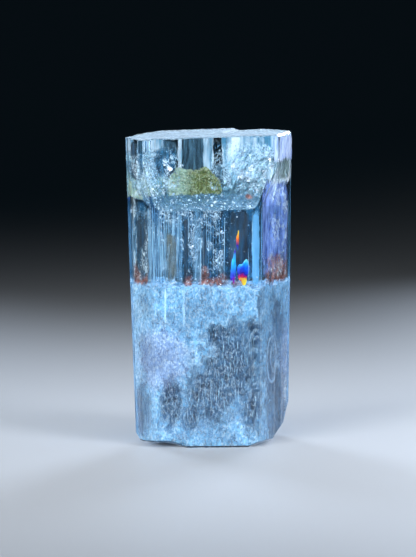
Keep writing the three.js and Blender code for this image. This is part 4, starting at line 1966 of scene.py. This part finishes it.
# The curtains: film, name, plan ends, levels, and where they differ, wave and soft side
CURTAINS = (
    (Film.DENSE, "streaks_left", (-8.7, -7.0), (-5.8, -6.6), (24.6, 36.2)),
    (Film.SPARSE, "streaks_left_deep", (-8.9, -1.0), (-5.2, 0.0), (24.6, 36.6)),
    (Film.CRACKLE, "crackle_left_face", (-11.6, -3.6), (-8.8, -7.5), (25.2, 44.5)),
    (Film.CRACKLE, "crackle_window", (-8.2, -4.2), (2.6, -3.4), (26.0, 36.4), 0.8, 1.6),
    (Film.CRACKLE, "crackle_top_left", (-9.6, -3.0), (-4.4, -2.0), (38.6, 45.4), 0.5),
    (Film.CRACKLE, "crackle_top_right", (-0.4, 0.9), (9.8, -2.6), (38.4, 46.2), 0.5),
    (Film.CRACKLE, "crackle_right_face", (8.9, -5.4), (12.0, 1.4), (25.0, 45.0), 0.2),
    (Film.BROWN, "stained_left", (-6.6, -7.2), (-4.7, -7.1), (25.2, 32.8), 0.05),
    # The rows with the painted-shade films are dark sheets that paint shade into the clear half
    (Film.DARK, "dark_window_wall", (-8.0, 4.6), (9.0, 6.2), (24.3, 37.4), 0.2, 2.5),
    (Film.SLOT, "dark_slot_left", (-3.9, -4.9), (-3.2, -4.9), (24.8, 34.6), 0.05, 0.15),
    (Film.SLOT, "dark_slot_middle", (-1.15, -5.2), (-0.4, -5.2), (24.8, 33.4), 0.05, 0.15),
    (Film.SLOT, "dark_window_right", (2.6, -4.4), (6.2, -4.2), (26.4, 36.0), 0.2, 0.9),
    (Film.SLOT, "dark_left_face", (-10.9, -4.4), (-8.7, -6.9), (25.6, 35.2), 0.15),
    (Film.SLOT, "dark_left_edge", (-11.2, -3.4), (-10.1, -5.0), (40.6, 46.3), 0.1, 0.3),
    (Film.DARK, "dark_top_left", (-9.0, 1.0), (-5.0, 1.4), (40.6, 45.2), 0.2, 1.2),
    # This white film is partly painted glow of light from behind
    (Film.WHITE, "pale_top_left", (-9.3, 2.0), (-7.2, 2.2), (43.8, 47.0), 0.1, 0.5),
    (Film.LINE, "growth_line_left", (-6.66, -7.97), (-6.44, -7.95), (17.4, 24.6), 0.0, 0.05),
    (Film.LINE, "growth_line_right", (-3.95, -7.72), (-3.6, -7.7), (18.2, 24.6), 0.0, 0.05),
    (Film.GREY, "top_band_low", (-0.4, 5.5), (2.4, 5.8), (38.4, 42.6), 0.1),
    (Film.BAND, "band_left", (-4.75, -5.0), (-4.1, -4.9), (24.6, 36.0), 0.1, 0.25),
    (Film.BAND, "band_middle", (-2.45, -5.0), (-1.25, -4.8), (24.3, 36.0), 0.15, 0.25),
    (Film.SPARSE, "streaks_middle", (-3.6, -2.0), (6.2, -1.4), (24.6, 36.4)),
    (Film.STRIP, "strip_right", (6.4, -6.1), (7.6, -6.0), (24.6, 35.6), 0.03, 0.1),
    (Film.GREY, "top_band_grey", (-8.6, 4.6), (-5.2, 5.2), (40.4, 46.4), 0.1),
    # The white back-wall films below are partly painted glow of light from behind
    (Film.WHITE, "top_band_line", (-5.3, 5.0), (-4.5, 5.0), (40.4, 47.0), 0.03, 0.04),
    (Film.GREY, "top_band_dim", (-4.5, 5.4), (-1.2, 5.7), (40.4, 46.9), 0.1, 0.2),
    (Film.WHITE, "top_band_white", (-1.3, 5.6), (0.2, 5.7), (40.6, 47.0), 0.05, 0.04),
    (Film.WHITE, "top_band_bright", (1.4, 5.9), (9.6, 6.2), (39.6, 47.0), 0.3, 0.3),
    (Film.SPECKLED, "speckles_left_face", (-11.7, -3.4), (-10.3, -5.5), (25.0, 41.5)),
    (Film.LILAC, "haze_right_face", (7.9, -6.6), (12.0, 2.1), (25.6, 40.4), 0.1),
    (Film.GREEN, "green_right_face", (9.3, -4.9), (12.2, 1.9), (39.9, 44.4), 0.1),
    (Film.PALE, "pale_right_face", (9.7, -4.6), (12.5, 1.9), (42.8, 47.2), 0.1, 0.4),
    (Film.RUST, "stain_left", (-11.4, -3.6), (-8.8, -6.9), (24.2, 28.4), 0.1),
    (Film.RUST, "stain_middle", (-4.6, -5.8), (5.4, -5.0), (24.1, 28.0), 0.4),
    (Film.RUST, "stain_right", (8.1, -6.2), (12.0, 2.1), (24.3, 29.4), 0.1),
    (Film.RUST, "stain_spot", (5.2, -6.8), (7.0, -6.7), (36.6, 39.2), 0.05, 0.2),
)

# Larger cleavage films that glint: places in the prism's millimetres
GLINTS = (
    (3.4, -1.0, 42.3), (4.6, -2.0, 40.6), (5.5, -2.0, 41.0), (8.2, -4.0, 41.4), (9.0, -4.0, 43.2),
    (-6.3, -3.0, 41.7), (-4.6, 0.0, 42.4), (-6.6, -5.0, 43.0), (-2.8, -5.0, 30.3),
    (-11.7, -3.6, 35.8), (-8.0, -4.0, 39.4), (-7.0, -2.0, 38.6), (7.2, -5.0, 38.4),
    (2.1, -3.0, 32.6), (2.9, -3.0, 30.2), (5.6, -6.0, 24.6), (-5.4, -6.0, 24.9),
)

# Broad gleams over the right of the bowl and at its upper left, in the prism's millimetres
GLEAMS = (
    (4.5, -2.4, 40.8), (5.6, -3.0, 40.0), (6.9, -1.6, 40.7), (8.4, -3.2, 41.2), (3.4, -0.4, 42.0),
    (9.2, -3.8, 42.6), (-6.4, -3.0, 42.0), (6.2, -2.2, 42.2),
)

# Lobes of the interference crack: name, centre, half width, half height, lean, levels, bands
LOBES = (
    ("right", (5.15, -6.6, 26.6), 0.86, 1.75, 0.10, (24.6, 28.8), (
        (0.0, "#F2E04A"), (0.14, "#F4D63A"), (0.22, "#C21850"), (0.34, "#2B148C"),
        (0.58, "#0F4FE0"), (0.8, "#20A8F2"), (1.0, "#7FE4F8"))),
    ("left", (3.65, -6.3, 27.1), 0.40, 2.3, 0.06, (24.4, 29.8), (
        (0.0, "#E8C85A"), (0.1, "#B0328C"), (0.25, "#3A22C0"), (0.5, "#1E86F0"),
        (0.75, "#35C0F2"), (1.0, "#4A2FB4"))),
    ("streak", (4.25, -6.0, 31.3), 0.20, 1.3, 0.05, (29.6, 33.6), (
        (0.0, "#2C7CE8"), (0.3, "#3A1F90"), (0.5, "#E86A1E"), (0.75, "#F4D63A"),
        (1.0, "#E8862A"))),
)


@dataclass(frozen=True)
class Crowd:
    """A box in which small features are scattered, in the prism's millimetres.

    Each axis has its least value, its range and the power that crowds it towards the least.
    """

    count: int
    x: Triple
    y: Triple
    z: Triple
    first: float = 0.0

    def places(self) -> np.ndarray:
        """Return (n, 3) scattered points."""
        number = np.arange(self.count) + self.first
        return np.stack([low + span * scatter(number + step) ** power for (low, span, power), step
                         in zip((self.x, self.y, self.z), (0.17, 0.31, 0.53))], axis=-1)


def build_milky_zone(form: PrismForm) -> None:
    """Make the milky lower half: a dense core and two veils round it.

    Args:
        form: the crystal's outside form.
    """
    MilkyZone("milky_zone_core", form, 2.2, 23.6, 0.9).build(
        MilkyCore("milky_aquamarine_core").build())
    MilkyZone("milky_zone_inner_veil", form, 1.1, 24.0, 0.5).build(
        MilkyVeil("inner_milky_veil", "#74AAD4", "#356A96", 0.55, 0.25, 5.0, 0.45).build())
    MilkyZone("milky_zone_outer_veil", form, 0.3, 24.25, 0.25).build(
        MilkyVeil("outer_milky_veil").build())


def build_bowl(form: PrismForm) -> None:
    """Make the bowl-shaped healed crack and the bright flakes that crowd it.

    Args:
        form: the crystal's outside form.
    """
    bowl = HealedBowl(form)
    bowl.build(HealedCrack("healed_bowl_film", "#A6CEDC", "#2C5C74", 0.42, 0.7, haze=0.2,
                           softness=0.11, frosted_below=38.4, metallic=0.2, roughness=0.25,
                           worn=False).build())
    flake = BrightFlake("bright_cleavage_flake").build()
    Flakes("bowl_flakes").build(bowl.flake_places(1500), flake)


def build_tubes() -> None:
    """Make the growth tubes that stand on the milky zone, three of four of them at the left."""
    number = np.arange(230)
    lane = scatter(number + 0.11)
    x = np.where(number % 4 < 3, -8.9 + 4.4 * lane, -8.0 + 15.0 * lane)
    y = -7.2 + 13.0 * scatter(number + 0.29) ** 1.4
    z = 24.6 + 6.5 * scatter(number + 0.43) ** 2.2
    Needles("growth_tubes").build(
        np.stack([x, y, z], axis=-1),
        HealedCrack("growth_tube_walls", "#A8D4EA", "#4F8AB0", 0.85, 0.6, 6, 0.8,
                    worn=False).build())


def build_rainbow() -> None:
    """Make the lobes of the interference crack near the right of the front face."""
    films = [InterferenceFilm("interference_film_" + lobe[0], *lobe[5:]).build() for lobe in LOBES]
    for (name, *sizes), film in zip(LOBES, films):
        InterferenceCrack("interference_crack_" + name, *sizes[:4]).build(film)


def build_curtains() -> None:
    """Make the upright healed cracks and films that give the clear half its bands, with dark sheets
    of painted shade among them.
    """
    films = {film: film.value.build() for film in Film}
    for film, *row in CURTAINS:
        Curtain(*row).build(films[film])


def build_glints() -> None:
    """Make the larger glints and the broad gleams: a few flakes round each of their places."""
    around = np.arange(5)[None, :]
    which = np.arange(len(GLINTS))[:, None]
    offset = np.stack([scatter(7 * which + around + 0.1 * axis) - 0.5 for axis in range(3)],
                      axis=-1)
    glints = np.array(GLINTS)[:, None] + 0.7 * offset
    Flakes("glints", (0.14, 0.42), 0.03, 400.0).build(
        glints.reshape(-1, 3), BrightFlake("glinting_cleavage_film", "#FFFFFF", 0.1).build())
    gleams = np.array(GLEAMS)[:, None] + 0.9 * offset[:len(GLEAMS), :3]
    Flakes("gleams_over_the_bowl", (0.3, 0.75), 0.04, 2100.0).build(
        gleams.reshape(-1, 3),
        BrightFlake("gleaming_cleavage_film", "#FFFFFF", 0.1, 0.15).build())


def build_flakes(form: PrismForm) -> None:
    """Make the small bright flakes on the milky zone and through the clear half, which crowd at
    the left face, and the upright flecks in the milky zone.

    Args:
        form: the crystal's outside form.
    """
    rim = Crowd(700, (-11.4, 23.2, 1), (-8.0, 9.0, 2), (23.9, 2.0, 2), 0.25).places()
    Flakes("flakes_on_the_milky_zone", (0.04, 0.2), 0.03, 1300.0).build(
        rim[form.inside(rim[:, 0], rim[:, 1], 24.0, 0.45)],
        BrightFlake("flake_over_milky_zone").build())
    clear = Crowd(3400, (-11.6, 23.6, 1), (-8.0, 15.0, 1.5), (24.4, 12.0, 1.3)).places()
    wanted = (clear[:, 0] < -8.2) | (scatter(np.arange(len(clear)) + 0.91) < 0.5)
    keep = wanted & form.inside(clear[:, 0], clear[:, 1], 30.0, 0.5)
    Flakes("scattered_flakes", (0.03, 0.14), 0.03, 900.0).build(
        clear[keep], BrightFlake("small_bright_flake").build())
    milky = Crowd(2600, (-11.6, 23.6, 1), (-8.0, 4.0, 1), (1.4, 20.0, 1), 0.5).places()
    Needles("milky_zone_flecks", (0.015, 0.05), (0.1, 1.5), 23.5).build(
        milky[form.inside(milky[:, 0], milky[:, 1], 10.0, 0.7)],
        BrightFlake("pale_fluid_tube", "#A4D0EA", 0.0, 0.4).build())


def main() -> None:
    """Build the scene in order; each piece is noted as its mesh is made."""
    logging.basicConfig(level=logging.INFO, format="%(name)s %(message)s")
    Studio().build()
    PaleFloor().build()
    form = PrismForm()
    ClearCrystal(form, Striations()).build(ClearBeryl("clear_aquamarine_beryl").build())
    build_milky_zone(form)
    build_bowl(form)
    build_tubes()
    YellowCluster(form).build(YellowMineral("granular_yellow_mineral").build())
    build_rainbow()
    build_curtains()
    build_glints()
    build_flakes(form)
    FrostedTop(form).build(HealedCrack("frosted_top_film", "#8AA5B6", "#44606F", 0.6, 0.25,
                                       most=0.85, haze=0.6, worn=False).build())


if __name__ == "__main__":
    main()
